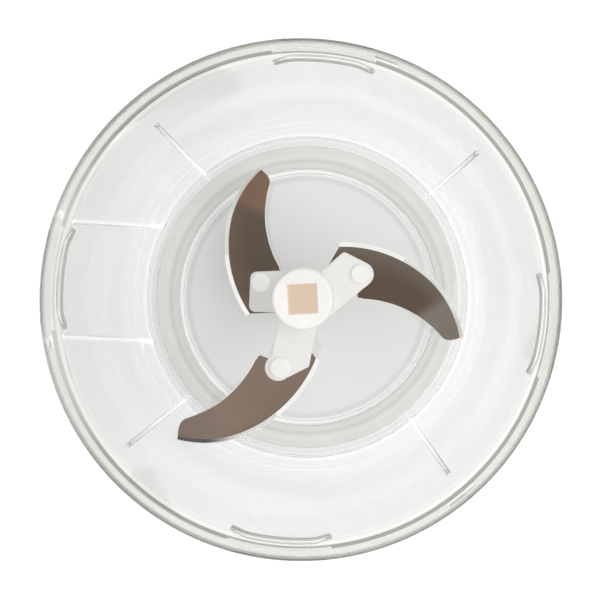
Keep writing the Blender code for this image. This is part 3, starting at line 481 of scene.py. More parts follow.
# %% Bearing bush
BUSH_LOW, BUSH_TOP = 8.3 * MM, 39.3 * MM
BUSH_INNER, BUSH_OUTER = 3.3 * MM, 4.5 * MM
FLANGE_OUTER, FLANGE_TOP = 6.5 * MM, 9.5 * MM
bush = turned(
    "bearing_bush",
    rounded_line(
        [
            (BUSH_INNER, BUSH_LOW, 0.2 * MM),
            (BUSH_INNER, BUSH_TOP, SMALL_ROUND),
            (BUSH_OUTER, BUSH_TOP, SMALL_ROUND),
            (BUSH_OUTER, 15.7 * MM, 0),
            (4.9 * MM, 15.0 * MM, 0.2 * MM),
            (BUSH_OUTER, 14.3 * MM, 0),
            (BUSH_OUTER, FLANGE_TOP, 0.1 * MM),
            (FLANGE_OUTER, FLANGE_TOP, SMALL_ROUND),
            (FLANGE_OUTER, BUSH_LOW, SMALL_ROUND),
            (3.5 * MM, BUSH_LOW, 0),
        ]
    ),
    steps=64,
    loop=True,
)
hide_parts("pivot_bush")
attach(bush, "bearing")

# %% [markdown]
# ## Blade unit: plates, hubs and cuts
# The three arms are moulded in one with a ring of the column. An arm is a plate whose
# outline is a taut band round a few circles, with its edges rounded. The hub is turned.
# They overlap, so a Boolean joins them into one closed skin, and others cut the square
# bore and the stud's hole. The clamps and the square core are made in the same way.

# %% Moving points
def moved(points, turn=0.0, place=(0, 0, 0)):
    """Points turned about the Z axis by degrees, then shifted."""
    c, s = math.cos(math.radians(turn)), math.sin(math.radians(turn))
    return points @ np.array([[c, s, 0], [-s, c, 0], [0, 0, 1]]) + np.array(place)


# %% Plates
def band_line(circles, inset=0.0, steps=144):
    """A taut band round circles of (x, y, radius).

    For each direction it is the point of the circle that reaches furthest that way: the
    centre plus the radius, less the inset, times the direction.
    """
    turn = np.linspace(0, 2 * math.pi, steps, endpoint=False)
    way = np.stack([np.cos(turn), np.sin(turn)], -1)
    centre = np.array([circle[:2] for circle in circles])
    size = np.array([circle[2] for circle in circles])
    reach = way @ centre.T + size
    taken = reach.argmax(axis=1)
    return centre[taken] + (size[taken] - inset)[:, None] * way


def plate(name, circles, low, high, edge=0.5 * MM, turn=0.0, place=(0, 0, 0), steps=144):
    """A flat plate with rounded edges.

    Rows: the band line, inset by edge * (1 - sin t) and lifted by edge * (1 - cos t) while t
    goes from 0 to 90 degrees, and the same again upside down.
    """
    t = np.radians(np.linspace(0, 90, 6))
    inset = np.concatenate([[1.25 * edge], edge * (1 - np.sin(t))])
    rise = np.concatenate([[0], edge * (1 - np.cos(t))])
    inset = np.concatenate([inset, inset[::-1]])
    rise = np.concatenate([low + rise, high - rise[::-1]])
    rows = [np.column_stack([band_line(circles, i, steps), np.full(steps, z)]) for i, z in zip(inset, rise)]
    return grid_object(name, moved(np.array(rows), turn, place), caps=True)


# %% Carving
def applied(piece):
    """The piece's mesh with its modifiers worked out, which are then taken off."""
    graph = bpy.context.evaluated_depsgraph_get()
    mesh = bpy.data.meshes.new_from_object(piece.evaluated_get(graph), depsgraph=graph)
    piece.modifiers.clear()
    piece.data = mesh
    return mesh


def carved(piece, joins=(), cuts=(), smooth_angle=38.0):
    """The piece with the joins added and the cuts taken away, as one closed mesh.

    The edges that the cuts leave are marked sharp before the flats are evened out.
    """
    for operation, tools in (("UNION", joins), ("DIFFERENCE", cuts)):
        for tool in tools:
            step = piece.modifiers.new(operation, "BOOLEAN")
            step.operation = operation
            step.solver = "EXACT"
            step.object = tool
    applied(piece).set_sharp_from_angle(angle=math.radians(smooth_angle))
    even = piece.modifiers.new("even_flats", "WEIGHTED_NORMAL")
    even.keep_sharp = True
    mesh = applied(piece)
    for tool in (*joins, *cuts):
        bpy.data.objects.remove(tool)
    print(piece.name, "carved,", len(mesh.polygons), "faces")
    return piece


# %% Square outline
def rounded_square(side, corner):
    """The four corner circles of a square."""
    reach = side / 2 - corner
    return [(x * reach, y * reach, corner) for x in (-1, 1) for y in (-1, 1)]


# %% Sizes of the stack
SPACER = 9.3125 * MM
HUB = 10.5125 * MM
COLLAR_TOP_RADIUS = 9.6125 * MM
STACK_BOTTOM = 11.3 * MM
LEVEL_SPACING = 20.0 * MM
ARM_TOP = 14.7 * MM
ARM_BOTTOM = 11.3 * MM
HUB_STEP = ARM_BOTTOM + 0.8 * MM
COLLAR_TOP = ARM_TOP + 16.0 * MM
GAP = 0.3 * MM
CORE_SIDE = 12.0 * MM
CORE_CORNER = 1.2 * MM
BORE_SIDE = CORE_SIDE + 2 * GAP
SOCKET_SIDE = 9.9 * MM
SOCKET_CORNER = 0.3 * MM
SOCKET_TURN = 3.0
STUD_RADIUS = 2.0 * MM
PEG_RADIUS = 0.8 * MM
PEG_PLACE = (-4.0 * MM, -3.5 * MM)
BLADE_THICKNESS = 1.0 * MM
THROUGH = 1.0 * MM
SHARP = 0.02 * MM

# %% The three levels
# Each arm along +X: half widths at the column, end circles, stud and the blade's turn, in mm
LEVELS = {
    "lower": dict(
        index=0, azimuth=175.0, widths=(5.7, 10.4), ends=((9.1, 4.6, 2.3), (9.4, -5.5, 2.5)),
        stud=(7.9, -4.1), blade_turn=-106.4,
    ),
    "middle": dict(
        index=1, azimuth=41.0, widths=(3.4, 10.5), ends=((10.8, 1.9, 1.5), (11.2, -6.7, 4.4)),
        stud=(11.0, -6.5), blade_turn=-95.1,
    ),
    "upper": dict(
        index=2, azimuth=260.0, widths=(5.9, 7.4), ends=((12.4, 4.8, 1.0), (13.8, -2.9, 4.5)),
        lobe=(15.0, -4.4, 4.5), stud=(14.9, -3.7), blade_turn=-67.7,
    ),
}

print(len(LEVELS), "levels", LEVEL_SPACING / MM, "mm apart")


# %% Places on an arm
def on_arm(x, y, *more):
    """A place or circle of an arm in metres, its X counted from the column's side."""
    return (SPACER + x * MM, y * MM, *(value * MM for value in more))


def stud_place(level, height=0.0):
    """World place of a level's stud."""
    x, y = on_arm(*level["stud"])
    return moved(np.array((x, y, height)), level["azimuth"])


# %% Bars for cutting
def square_post(name, side, corner, low, high):
    """A square bar for cutting, turned as the core is."""
    return plate(name, rounded_square(side, corner), low, high, edge=SHARP, turn=SOCKET_TURN)


def round_post(name, size, low, high, place):
    """A round bar for cutting."""
    return plate(name, [(0, 0, size)], low, high, edge=SHARP, place=(place[0], place[1], 0), steps=48)


# %% Holders
ARM_EDGE = 0.7 * MM


def hub_line(is_top):
    """The hub's side, from the axis at its foot to the axis at its top."""
    line = [(0, 0, 0), (SPACER, 0, 0.3 * MM), (SPACER, HUB_STEP, 0.2 * MM), (HUB, HUB_STEP, 0.3 * MM)]
    if is_top:
        line += [(HUB, ARM_TOP, 1.0 * MM), (COLLAR_TOP_RADIUS, COLLAR_TOP, 0.7 * MM), (0, COLLAR_TOP, 0)]
    else:
        top = LEVEL_SPACING - GAP
        line += [(HUB, top, 0.6 * MM), (0, top, 0)]
    return line


def holder(name, level):
    """Arm, lobe and hub joined, with the square bore, the mouth and the stud's hole cut."""
    lift = STACK_BOTTOM + level["index"] * LEVEL_SPACING
    is_top = level["index"] == len(LEVELS) - 1
    leading, trailing = level["widths"]
    circles = [(0, (leading - 1) * MM, MM), (0, (1 - trailing) * MM, MM)]
    circles += [on_arm(*end) for end in level["ends"]]
    low, high = lift + ARM_BOTTOM, lift + ARM_TOP
    joins = [plate("arm", circles, low, high, ARM_EDGE, level["azimuth"])]
    if "lobe" in level:
        joins.append(plate("lobe", [on_arm(*level["lobe"])], low, high, ARM_EDGE, level["azimuth"]))
    body = turned(name, rounded_line(hub_line(is_top)) + np.array((0, lift)), steps=128)
    bore_top = lift + (COLLAR_TOP - 1.0 * MM if is_top else LEVEL_SPACING + THROUGH)
    cuts = [square_post("bore", BORE_SIDE, CORE_CORNER, lift - THROUGH, bore_top)]
    if is_top:
        cuts.append(square_post("mouth", SOCKET_SIDE, SOCKET_CORNER, high, lift + COLLAR_TOP + THROUGH))
    cuts.append(round_post("hole", STUD_RADIUS + GAP, low - THROUGH, high + THROUGH, stud_place(level)))
    return carved(body, joins, cuts)


# %% Clamps
HEAD_RADIUS = 3.4 * MM
HEAD_THICKNESS = 1.0 * MM
CLAMP_THICKNESS = 2.0 * MM
CLAMP_RADIUS = 3.9 * MM
PEG_END_RADIUS = 2.2 * MM
PEG_RISE = 1.2 * MM
SUNK = 0.5 * MM


def clamp(name, level):
    """Plate under the blade, with the stud, its round head above the arm, and the peg."""
    under = STACK_BOTTOM + level["index"] * LEVEL_SPACING + ARM_BOTTOM - GAP - BLADE_THICKNESS
    place = stud_place(level)
    turn = level["azimuth"] + level["blade_turn"]
    top = under - GAP
    ends = [(0, 0, CLAMP_RADIUS), (*PEG_PLACE, PEG_END_RADIUS)]
    body = plate(name, ends, top - CLAMP_THICKNESS, top, 0.5 * MM, turn, place)
    head_low = under + BLADE_THICKNESS + GAP + ARM_TOP - ARM_BOTTOM + GAP
    head_high = head_low + HEAD_THICKNESS
    line = rounded_line(
        [
            (0, head_high, 0),
            (HEAD_RADIUS, head_high, 0.45 * MM),
            (HEAD_RADIUS, head_low, 0.1 * MM),
            (STUD_RADIUS, head_low, 0.1 * MM),
            (STUD_RADIUS, top - SUNK, 0),
            (0, top - SUNK, 0),
        ]
    )
    stud = turned("stud", line, steps=72, place=place)
    peg = moved(np.array((*PEG_PLACE, 0)), turn, place)
    peg = round_post("peg", PEG_RADIUS, top - SUNK, under + BLADE_THICKNESS + PEG_RISE, peg)
    return carved(body, [stud, peg])


# %% Core
CORE_LOW = 9.8 * MM
CORE_HIGH = 80.7 * MM
SOCKET_FLOOR = 52.0 * MM
BORE_RADIUS = 4.8 * MM
BORE_HIGH = 43.8 * MM
FLANGE_RADIUS = 9.0125 * MM
FLANGE_THICKNESS = 1.2 * MM


def core():
    """Square core: flange at its foot, drive socket from the top, pivot bore from below."""
    square = rounded_square(CORE_SIDE, CORE_CORNER)
    body = plate("square_core", square, CORE_LOW, CORE_HIGH, SMALL_ROUND, SOCKET_TURN)
    flange = plate("flange", [(0, 0, FLANGE_RADIUS)], CORE_LOW, CORE_LOW + FLANGE_THICKNESS, SMALL_ROUND)
    socket = square_post("socket", SOCKET_SIDE, SOCKET_CORNER, SOCKET_FLOOR, CORE_HIGH + THROUGH)
    bore = turned(
        "bore",
        rounded_line(
            [
                (0, BORE_HIGH, 0),
                (BORE_RADIUS, BORE_HIGH, 0.3 * MM),
                (BORE_RADIUS, 16.0 * MM, 0),
                (BORE_RADIUS + 0.4 * MM, 15.0 * MM, 0.2 * MM),
                (BORE_RADIUS, 14.0 * MM, 0),
                (BORE_RADIUS, CORE_LOW - THROUGH, 0),
                (0, CORE_LOW - THROUGH, 0),
            ]
        ),
        steps=64,
    )
    return carved(body, [flange], [socket, bore])


# %% Holders, clamps and core in place
unit = {"drive_core": core()}
for level_name, level in LEVELS.items():
    unit[f"{level_name}_holder"] = holder(f"{level_name}_arm", level)
    unit[f"{level_name}_clamp"] = clamp(f"{level_name}_stud", level)
for node_name, piece in unit.items():
    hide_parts(node_name)
    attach(piece, "blade_unit")

# %% [markdown]
# ## Blades
# A blade is a sickle cut from one millimetre sheet. Its outer edge is ground to a bevel, and
# the outer part of that edge is serrated: small hollows run across the bevel, and two
# hollows meet in a sharp point. The surface is a ruled grid: columns step along the outer
# edge, a few to each tooth, and rows run from the edge over the top face to the back and
# return underneath. Each point also keeps its place on the blade, which the finish reads.

# %% Outline of a blade
BEVEL = 1.6 * MM
ROOT_CORNER = np.array((-12.3, -0.3)) * MM
TIP_CORNER_Y = 15.4 * MM
SWEEP_RADIUS = FLOOR_EDGE - 0.8 * MM
TIP_BEND_PLACE = 24.0 * MM
TIP_FALL = math.tan(math.radians(2.5))

upper = LEVELS["upper"]
upper_stud = moved(np.array((*on_arm(*upper["stud"]), 0)), -upper["blade_turn"])
BLADE_REACH = math.sqrt(SWEEP_RADIUS**2 - (upper_stud[1] + TIP_CORNER_Y) ** 2) - upper_stud[0]
print("stud to tip", round(BLADE_REACH / MM, 2), "mm")


def from_tip(x, y):
    """A point given from the tip corner along the blade, in mm."""
    return np.array((BLADE_REACH + x * MM, y * MM))


# %% Arcs
def bowed(start, end, bulge):
    """Centre, radius and end angles of the arc that bulges to the left of start to end.

    The radius is (half chord squared + bulge squared) / (2 * bulge).
    """
    half = np.linalg.norm(end - start) / 2
    radius = (half**2 + bulge**2) / (2 * bulge)
    left = np.array((start[1] - end[1], end[0] - start[0])) / (2 * half)
    centre = (start + end) / 2 - left * (radius - bulge)
    middle = math.atan2(left[1], left[0])
    reach = math.asin(half / radius)
    return centre, radius, middle + reach, middle - reach


def on_arc(piece, share):
    """Points of an arc at shares of its length from 0 to 1, with their outward directions."""
    centre, radius, first, last = piece
    angle = first + (last - first) * np.asarray(share)
    way = np.stack([np.cos(angle), np.sin(angle)], -1)
    return centre + radius * way, way


# %% Edge of a blade
belly = from_tip(-21.2, 18.9)
tip_corner = from_tip(0, TIP_CORNER_Y / MM)
root_arc = bowed(ROOT_CORNER, belly, 3.7 * MM)
tip_arc = bowed(belly, tip_corner, 1.6 * MM)
root_length = root_arc[1] * (root_arc[2] - root_arc[3])
edge_length = root_length + tip_arc[1] * (tip_arc[2] - tip_arc[3])
print("edge", round(edge_length / MM, 1), "mm long")


def face_line(distance):
    """Where bevel and top face meet, and the way out across the bevel, by distance from the root."""
    inner, inner_way = on_arc(root_arc, distance / root_length)
    outer, outer_way = on_arc(tip_arc, (distance - root_length) / (edge_length - root_length))
    first = (distance < root_length)[:, None]
    return np.where(first, inner, outer), np.where(first, inner_way, outer_way)


# %% Back of a blade
back_tip = from_tip(-4.4, 10.2)
back_root = np.array((7.7, -4.6)) * MM
back_arc = bowed(back_root, back_tip, 3.2 * MM)
bend = np.linspace(0, 1, 9)[:, None]
nose = (1 - bend) ** 2 * back_tip + 2 * bend * (1 - bend) * from_tip(-1.1, 10.3) + bend**2 * tip_corner
ear_turn = np.radians(np.linspace(-150, 0, 7))
ear = np.array((6.2, -4.6)) * MM + MM * np.stack([np.cos(ear_turn), np.sin(ear_turn)], -1)
tongue = np.array([(-7.7, -10.7), (0.1, -7.3), (3.3, -3.7)]) * MM
back_line = np.vstack([tongue, ear, on_arc(back_arc, np.linspace(0, 1, 25))[0], nose[1:]])
NOSE_LENGTH = 4.6 * MM
ear_span = np.linspace(12.0, 15.0, len(ear)) * MM
back_span = np.linspace(15.6 * MM, edge_length - NOSE_LENGTH, 25)
nose_span = np.linspace(edge_length - NOSE_LENGTH, edge_length, 9)[1:]
back_knots = np.concatenate([np.array((0, 7.5, 10.5)) * MM, ear_span, back_span, nose_span])
print(len(back_line), "points on the back")

# %% Stations along the edge
TOOTH_PITCH = 1.0 * MM
TOOTH_DEPTH = 0.35 * MM
FLUTE_DEPTH = 0.16 * MM
SMOOTH_SHARE = 0.40
first_tooth = SMOOTH_SHARE * edge_length
teeth = int((edge_length - first_tooth) // TOOTH_PITCH)
in_tooth = np.array((0, 0.08, 0.25, 0.5, 0.75, 0.92))
tooth_stations = first_tooth + ((np.arange(teeth)[:, None] + in_tooth) * TOOTH_PITCH).ravel()
smooth_stations = np.linspace(0, first_tooth, 30, endpoint=False)
stations = np.concatenate([smooth_stations, tooth_stations, [first_tooth + teeth * TOOTH_PITCH, edge_length]])
stations = np.unique(np.round(np.concatenate([stations, back_knots]), 8))
phase = (stations - first_tooth) / TOOTH_PITCH
toothed = (phase > 0) & (phase < teeth)
hollow = np.where(toothed, np.abs(np.sin(np.pi * phase)), 0.0)
print(teeth, "teeth,", len(stations), "stations")


# %% Grid of a blade
BEVEL_FALL = 0.94
MOST_CUT = 0.9
SHARP_END = 0.04 * MM
KNEE_ROUND = 1.0 * MM
BACK_ROUND = ((0.5, 0), (0.2, 0), (0.12, 0.02), (0.05, 0.07), (0, 0.2))


def blade_points():
    """Points[row, column] of a blade in its own frame, with the stud at 0, 0.

    In plan a point is the face line plus the way out times a share of the bevel, or the way
    along the ruling from face line to back. Its height is the sheet's thickness, less the
    bevel's slope and the hollow's depth, and the outer end bends down in a soft knee.
    """
    line, way = face_line(stations)
    back = np.stack([np.interp(stations, back_knots, back_line[:, axis]) for axis in (0, 1)], -1)
    ruling = back - line
    width = np.linalg.norm(ruling, axis=1)
    inward = ruling / np.maximum(width, 1e-9)[:, None]
    plan = []
    top = []
    under = []
    for share in (1.0, 0.97, 0.8, 0.55, 0.3, 0.1, 0.0):
        plan.append(line + way * (share * (BEVEL - TOOTH_DEPTH * hollow))[:, None])
        cut = FLUTE_DEPTH * hollow * math.sqrt(share)
        left = BLADE_THICKNESS * (1 - BEVEL_FALL * share)
        top.append(left - np.minimum(cut, MOST_CUT * left))
        under.append(np.zeros_like(width))
    for share in (0.03, 0.25, 0.5, 0.75):
        plan.append(line + ruling * share)
        top.append(np.full_like(width, BLADE_THICKNESS))
        under.append(np.zeros_like(width))
    for back_off, drop in BACK_ROUND:
        off = np.minimum(back_off * MM, 0.4 * back_off * width)
        plan.append(back - inward * off[:, None])
        top.append(np.full_like(width, BLADE_THICKNESS - drop * MM))
        under.append(np.full_like(width, drop * MM))
    plan = np.array(plan + plan[::-1])
    lift = np.array(top + under[::-1])
    plan = np.concatenate([plan[:, [0]], plan, plan[:, [-1]]], axis=1)
    end = np.full((len(lift), 1), SHARP_END)
    lift = np.concatenate([end, lift, end], axis=1)
    beyond = plan[..., 0] - TIP_BEND_PLACE
    knee = (beyond + np.sqrt(beyond**2 + KNEE_ROUND**2)) / 2
    return np.dstack([plan, lift - TIP_FALL * knee])


points = blade_points()
rows = len(points)
print("blade grid", points.shape[:2])

# %% Ground rows
# Rows on the bevel, on the back's rounds and at the very edge
GROUND_ROWS = (*range(6), *range(12, 19), -1)
row_zones = np.zeros(rows, dtype=int)
row_zones[list(GROUND_ROWS)] = 1
print(int(row_zones.sum()), "of", rows, "rows are ground")


# %% Blades in place
def make_blade(name, level):
    """One blade on its stud. Its own places are kept, and the ground faces are zone 1."""
    under = STACK_BOTTOM + level["index"] * LEVEL_SPACING + ARM_BOTTOM - GAP - BLADE_THICKNESS
    world = moved(points, level["azimuth"] + level["blade_turn"], stud_place(level, under))
    along = np.concatenate([[0], stations, [edge_length]])
    dip = np.concatenate([[0], hollow, [0]])
    edge_place = np.dstack(np.broadcast_arrays(along, np.linspace(0, 1, rows)[:, None], dip))
    kept = {"blade_place": points, "edge_place": edge_place}
    return grid_object(
        name, world, rows_close=True, columns_close=False, smooth_angle=25, kept=kept, zones=row_zones
    )


blades = {level_name: make_blade(f"{level_name}_sickle", level) for level_name, level in LEVELS.items()}
for level_name, blade in blades.items():
    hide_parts(f"{level_name}_blade")
    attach(blade, "blade_unit")

# %% [markdown]
# ## Finishes
# Every finish is a Principled BSDF whose colour varies a little over the surface, and on
# most pieces its roughness and bump do too. Two effects are shared and live in node groups
# with named inputs and outputs: the soft mottle of moulded plastic and the fine drawn
# streaks of metal. A socket knows the tree that it belongs to, so most helpers need only
# the sockets that they work on.

# %% Node helpers
def feed(socket, value):
    """Link the socket to another one, or give it a plain value."""
    if isinstance(value, bpy.types.NodeSocket):
        socket.id_data.links.new(value, socket)
    else:
        socket.default_value = value


def fill(made, *inputs, **named):
    """Feed a node's inputs, in their order or by name. Any other name is a property."""
    for name, value in named.items():
        socket = made.inputs.get(name.replace("_", " "))
        if socket is None:
            setattr(made, name, value)
        else:
            feed(socket, value)
    for socket, value in zip(made.inputs, inputs):
        feed(socket, value)
    return made


def node(tree, kind, *inputs, **named):
    """A new shader node, filled."""
    return fill(tree.nodes.new("ShaderNode" + kind), *inputs, **named)


def new_finish(name):
    """A material, its node tree and its Principled shader."""
    finish = bpy.data.materials.new(name)
    finish.use_nodes = True
    return finish, finish.node_tree, finish.node_tree.nodes["Principled BSDF"]


# %% Values
def spread(value, start, end, low=0.0, high=1.0, kind="LINEAR"):
    """From low to high while the value goes from start to end."""
    made = node(value.id_data, "MapRange", value, start, end, low, high, interpolation_type=kind)
    return made.outputs["Result"]


def step_at(value, start, end, low=0.0, high=1.0):
    """The same as a smooth step."""
    return spread(value, start, end, low, high, "SMOOTHSTEP")


def step_mm(value, start, end, low=0.0, high=1.0):
    """A smooth step between two lengths in mm."""
    return step_at(value, start * MM, end * MM, low, high)


def combined(operation, *values):
    """The values added, compared and so on, two by two."""
    result = values[0]
    for value in values[1:]:
        result = node(result.id_data, "Math", result, value, operation=operation).outputs["Value"]
    return result


def product(*values):
    """The values multiplied."""
    return combined("MULTIPLY", *values)


def between(value, rise, fall):
    """A mask that rises over one span of mm and falls over another."""
    return product(step_mm(value, *rise), step_mm(value, *fall, 1, 0))


# %% Colours
def ramp(value, stops):
    """A colour that runs through stops of (value, colour)."""
    made = node(value.id_data, "ValToRGB", value)
    marks = made.color_ramp.elements
    for _ in stops[2:]:
        marks.new(0.5)
    for mark, (place, colour) in zip(marks, stops):
        mark.position = place
        mark.color = (*colour, 1)
    return made.outputs["Color"]


def two_tones(tone, low, high):
    """The low colour in the dark clouds of the mottle, the high one in the light ones."""
    return ramp(tone, ((0.3, low), (0.7, high)))


def shades(tone, colour, swing=0.07):
    """The colour, a little darker and lighter with the tone."""
    return two_tones(tone, *([part * (1 + side * swing) for part in colour] for side in (-1, 1)))


def mixed(mask, low, high, blend="MIX"):
    """The low colour where the mask is 0, the high colour where it is 1."""
    made = node(low.id_data, "Mix", mask, data_type="RGBA", blend_type=blend)
    ends = [socket for socket in made.inputs if socket.type == "RGBA"]
    feed(ends[0], low)
    feed(ends[1], high)
    return next(socket for socket in made.outputs if socket.type == "RGBA")


def tinted(mask, colour, tint):
    """The colour times the tint where the mask is 1."""
    return mixed(mask, colour, tint, "MULTIPLY")


# %% Places
def on_piece(tree):
    """The place on the piece, in the shared frame."""
    return node(tree, "TexCoord").outputs["Object"]


def kept_place(tree, name):
    """A place that the mesh keeps under a name."""
    return node(tree, "Attribute", attribute_name=name).outputs["Vector"]


def parts_of(place):
    """The three parts of a place."""
    return tuple(node(place.id_data, "SeparateXYZ", place).outputs)


def axis_distance(place):
    """Distance from the Z axis: the length of the place with its height taken out."""
    flat = node(place.id_data, "VectorMath", place, (1, 1, 0), operation="MULTIPLY").outputs["Vector"]
    return node(place.id_data, "VectorMath", flat, operation="LENGTH").outputs["Value"]


# %% Node groups
def new_group(name, inputs, outputs):
    """A node group with named sockets: the group, what comes in and what goes out."""
    group = bpy.data.node_groups.new(name, "ShaderNodeTree")
    for side, sockets in (("INPUT", inputs), ("OUTPUT", outputs)):
        for socket_name, kind in sockets.items():
            group.interface.new_socket(socket_name, in_out=side, socket_type="NodeSocket" + kind)
    return group, group.nodes.new("NodeGroupInput").outputs, group.nodes.new("NodeGroupOutput").inputs


# %% Mottle
def mottle_group():
    """Two sizes of cloudy noise: one as tone from 0 to 1, one as height for a bump."""
    sockets = {"Vector": "Vector", "Cloud Scale": "Float", "Grain Scale": "Float"}
    group, source, sink = new_group("moulded mottle", sockets, {"Tone": "Float", "Height": "Float"})
    for size, use, detail, decay in (("Cloud Scale", "Tone", 3.0, 0.55), ("Grain Scale", "Height", 2.0, 0.6)):
        noise = node(group, "TexNoise", Vector=source["Vector"], Scale=source[size])
        feed(sink[use], fill(noise, Detail=detail, Roughness=decay).outputs["Fac"])
    return group


# %% Streaks
def streak_group():
    """Fine streaks: noise on places that are stretched."""
    sockets = {"Vector": "Vector", "Stretch": "Vector", "Detail": "Float"}
    group, source, sink = new_group("drawn streaks", sockets, {"Lines": "Float"})
    lie = node(group, "Mapping", Vector=source["Vector"], Scale=source["Stretch"]).outputs["Vector"]
    noise = node(group, "TexNoise", Vector=lie, Scale=1.0, Detail=source["Detail"], Roughness=0.6)
    feed(sink["Lines"], noise.outputs["Fac"])
    return group


MOTTLE = mottle_group()
STREAKS = streak_group()
print("groups", MOTTLE.name, "and", STREAKS.name)


# %% Mottle on a piece
def mottled(tree, cloud=60.0, grain=2200.0):
    """The mottle's tone and its height on this piece."""
    place = on_piece(tree)
    effect = node(tree, "Group", node_tree=MOTTLE, Vector=place, Cloud_Scale=cloud, Grain_Scale=grain)
    return effect.outputs["Tone"], effect.outputs["Height"]


def bump(height, strength, distance):
    """A bump from a height, as a normal."""
    made = node(height.id_data, "Bump", Strength=strength, Distance=distance, Height=height)
    return made.outputs["Normal"]


# %% Plastics
# Painted light: the glow is painted stronger on the collar than below it.
COLLAR_SPAN = (72, 80)
COLLAR_GLOW = 1.5
UNDER_COLLAR_GLOW = (1 / COLLAR_GLOW, 1 / COLLAR_GLOW, 1 / COLLAR_GLOW, 1)
WHITE_TONES = ((0.60, 0.59, 0.572), (0.66, 0.652, 0.638))
CREAM_TONES = ((0.71, 0.64, 0.565), (0.77, 0.70, 0.62))
BUSH_TONES = ((0.66, 0.65, 0.62), (0.74, 0.73, 0.70))


def plastic(name, tones, roughness, glow=0.0):
    """Satin moulded plastic: two close tones, roughness that varies, a fine grain.

    The glow is painted light: emission that stands for light that the pale plastic lets
    through from its other sides. It is painted stronger on the collar, which has the open
    bowl all round it.
    """
    finish, tree, shader = new_finish(name)
    tone, grain = mottled(tree)
    colour = two_tones(tone, *tones)
    low_down = step_mm(parts_of(on_piece(tree))[2], *COLLAR_SPAN, 1, 0)
    fill(
        shader,
        Base_Color=colour,
        Roughness=spread(tone, 0, 1, *roughness),
        Normal=bump(grain, 0.15, 0.05 * MM),
        Emission_Color=tinted(low_down, colour, UNDER_COLLAR_GLOW),
        Emission_Strength=glow * COLLAR_GLOW,
    )
    print(name, "glows", glow)
    return finish


# The white, cream and stud plastics get a painted glow. The studs are copies of the white plastic with more
# of it, and the lower stud has the most, which lifts it out of the shade it stands in.
white_plastic = plastic("white_plastic", WHITE_TONES, (0.34, 0.46), 0.30)
cream_plastic = plastic("cream_plastic", CREAM_TONES, (0.42, 0.55), 0.28)
stud_plastic = plastic("stud_plastic", WHITE_TONES, (0.34, 0.46), 0.40)
low_stud_painted_light = plastic("low_stud_painted_light", WHITE_TONES, (0.34, 0.46), 0.53)
bush_plastic = plastic("bush_plastic", BUSH_TONES, (0.40, 0.52))

# %% [markdown]
# ## Clear plastic
# The bowl is clear, so its finish is a glass: full transmission and the index of a clear
# moulding plastic. Lamp light and scattered light pass straight through a plain transparent
# shader instead, so the bowl throws no dark shadow. The floor, the wall, the neck and the
# rim carry painted shade: darker tones that run with the distance from the axis, each with
# a mask for the heights where it holds. They stand for the light that enters the rim and
# neck and leaves sideways, for the shade of the table under the bowl seen through its
# floor, and for dark rings where edges under the floor show. The west wall is painted
# darker still, and the rim's painted lines are weaker on the west and at the lugs. The wall
# is a little less polished than the rim and the floor. The lugs' inner faces are painted a
# dull grey for the shade line they show, and lugs and ribs get a painted glow for the light
# lines at their edges.

# %% Mottle and painted shade of the clear plastic, as (distance from the axis in mm, tone)
RAMP_REACH = 100.0
RIM_HUE = (1, 1, 0.955)
CLEAR_TONES = ((0.975, 0.975, 0.975), (0.995, 0.995, 0.995))
LINE_PAINTED_SHADE = ((76.42, 1), (76.6, 0.05), (76.98, 0.05), (77.3, 1))
BAND_PAINTED_SHADE = ((79.2, 1), (79.6, 0.97), (79.9, 0.58), (80.15, 0.13), (80.5, 0.13), (80.8, 0.56))
FLOOR_PAINTED_SHADE = (
    (44, 0.735), (45.4, 0.66), (46.2, 0.64), (46.9, 0.75), (47.5, 0.88), (48.4, 0.88), (49, 0.84),
    (50, 0.84), (50.8, 0.82), (58.2, 0.82), (58.8, 0.73), (60.8, 0.73), (61.5, 0.92), (62.6, 0.90),
    (63.6, 0.80), (65.5, 0.82), (68, 0.92), (70, 0.98), (72, 1),
)
WALL_PAINTED_SHADE = ((0, 0.90), (66, 0.89), (68, 0.855), (71.5, 0.85), (73, 0.89), (76, 0.885))
WEST_PAINTED_SHADE = (0.93, 0.93, 0.92, 1)
NECK_PAINTED_SHADE = (0.88, 0.88, 0.88, 1)


def by_distance(away, stops, hue=(1, 1, 1)):
    """A tone that runs through stops of (distance from the axis in mm, tone)."""
    share = node(away.id_data, "Math", away, RAMP_REACH * MM, operation="DIVIDE").outputs["Value"]
    return ramp(share, [(distance / RAMP_REACH, [tone * part for part in hue]) for distance, tone in stops])


# %% Where they hold: spans of height, of distance from the axis and of X, in mm
FLOOR_END = (14, 30)
WALL_END = (98.5, 99.5)
UNDER_RIM = (95.3, 95.7)
INSIDE_RIM = (77.4, 77.9)
NECK = ((91.5, 93), (96.5, 97.5))
INNER_SKIN = (-1.5, -0.8)
BAND_START = (92.5, 93.5)
LINE_START = (97, 97.5)
# Painted shade by side: west of these spans the wall's painted shade is deeper and the rim's painted band and
# line are weaker. The painted line is also weaker at the lugs.
WEST_WALL = (-75, -50)
DIM_SIDE = (-77, -60)
DIM_BAND = 0.5
DIM_LINE = 0.8
LUG_LINE = 0.55


# %% Tint of the clear plastic
def past_wall(away, height):
    """How far a place stands out from the wall's inner face into the bowl."""
    lean = math.tan(DRAFT)
    wall_here = node(height.id_data, "Math", height, lean, wall_inside(0), operation="MULTIPLY_ADD")
    return combined("SUBTRACT", wall_here.outputs["Value"], away)


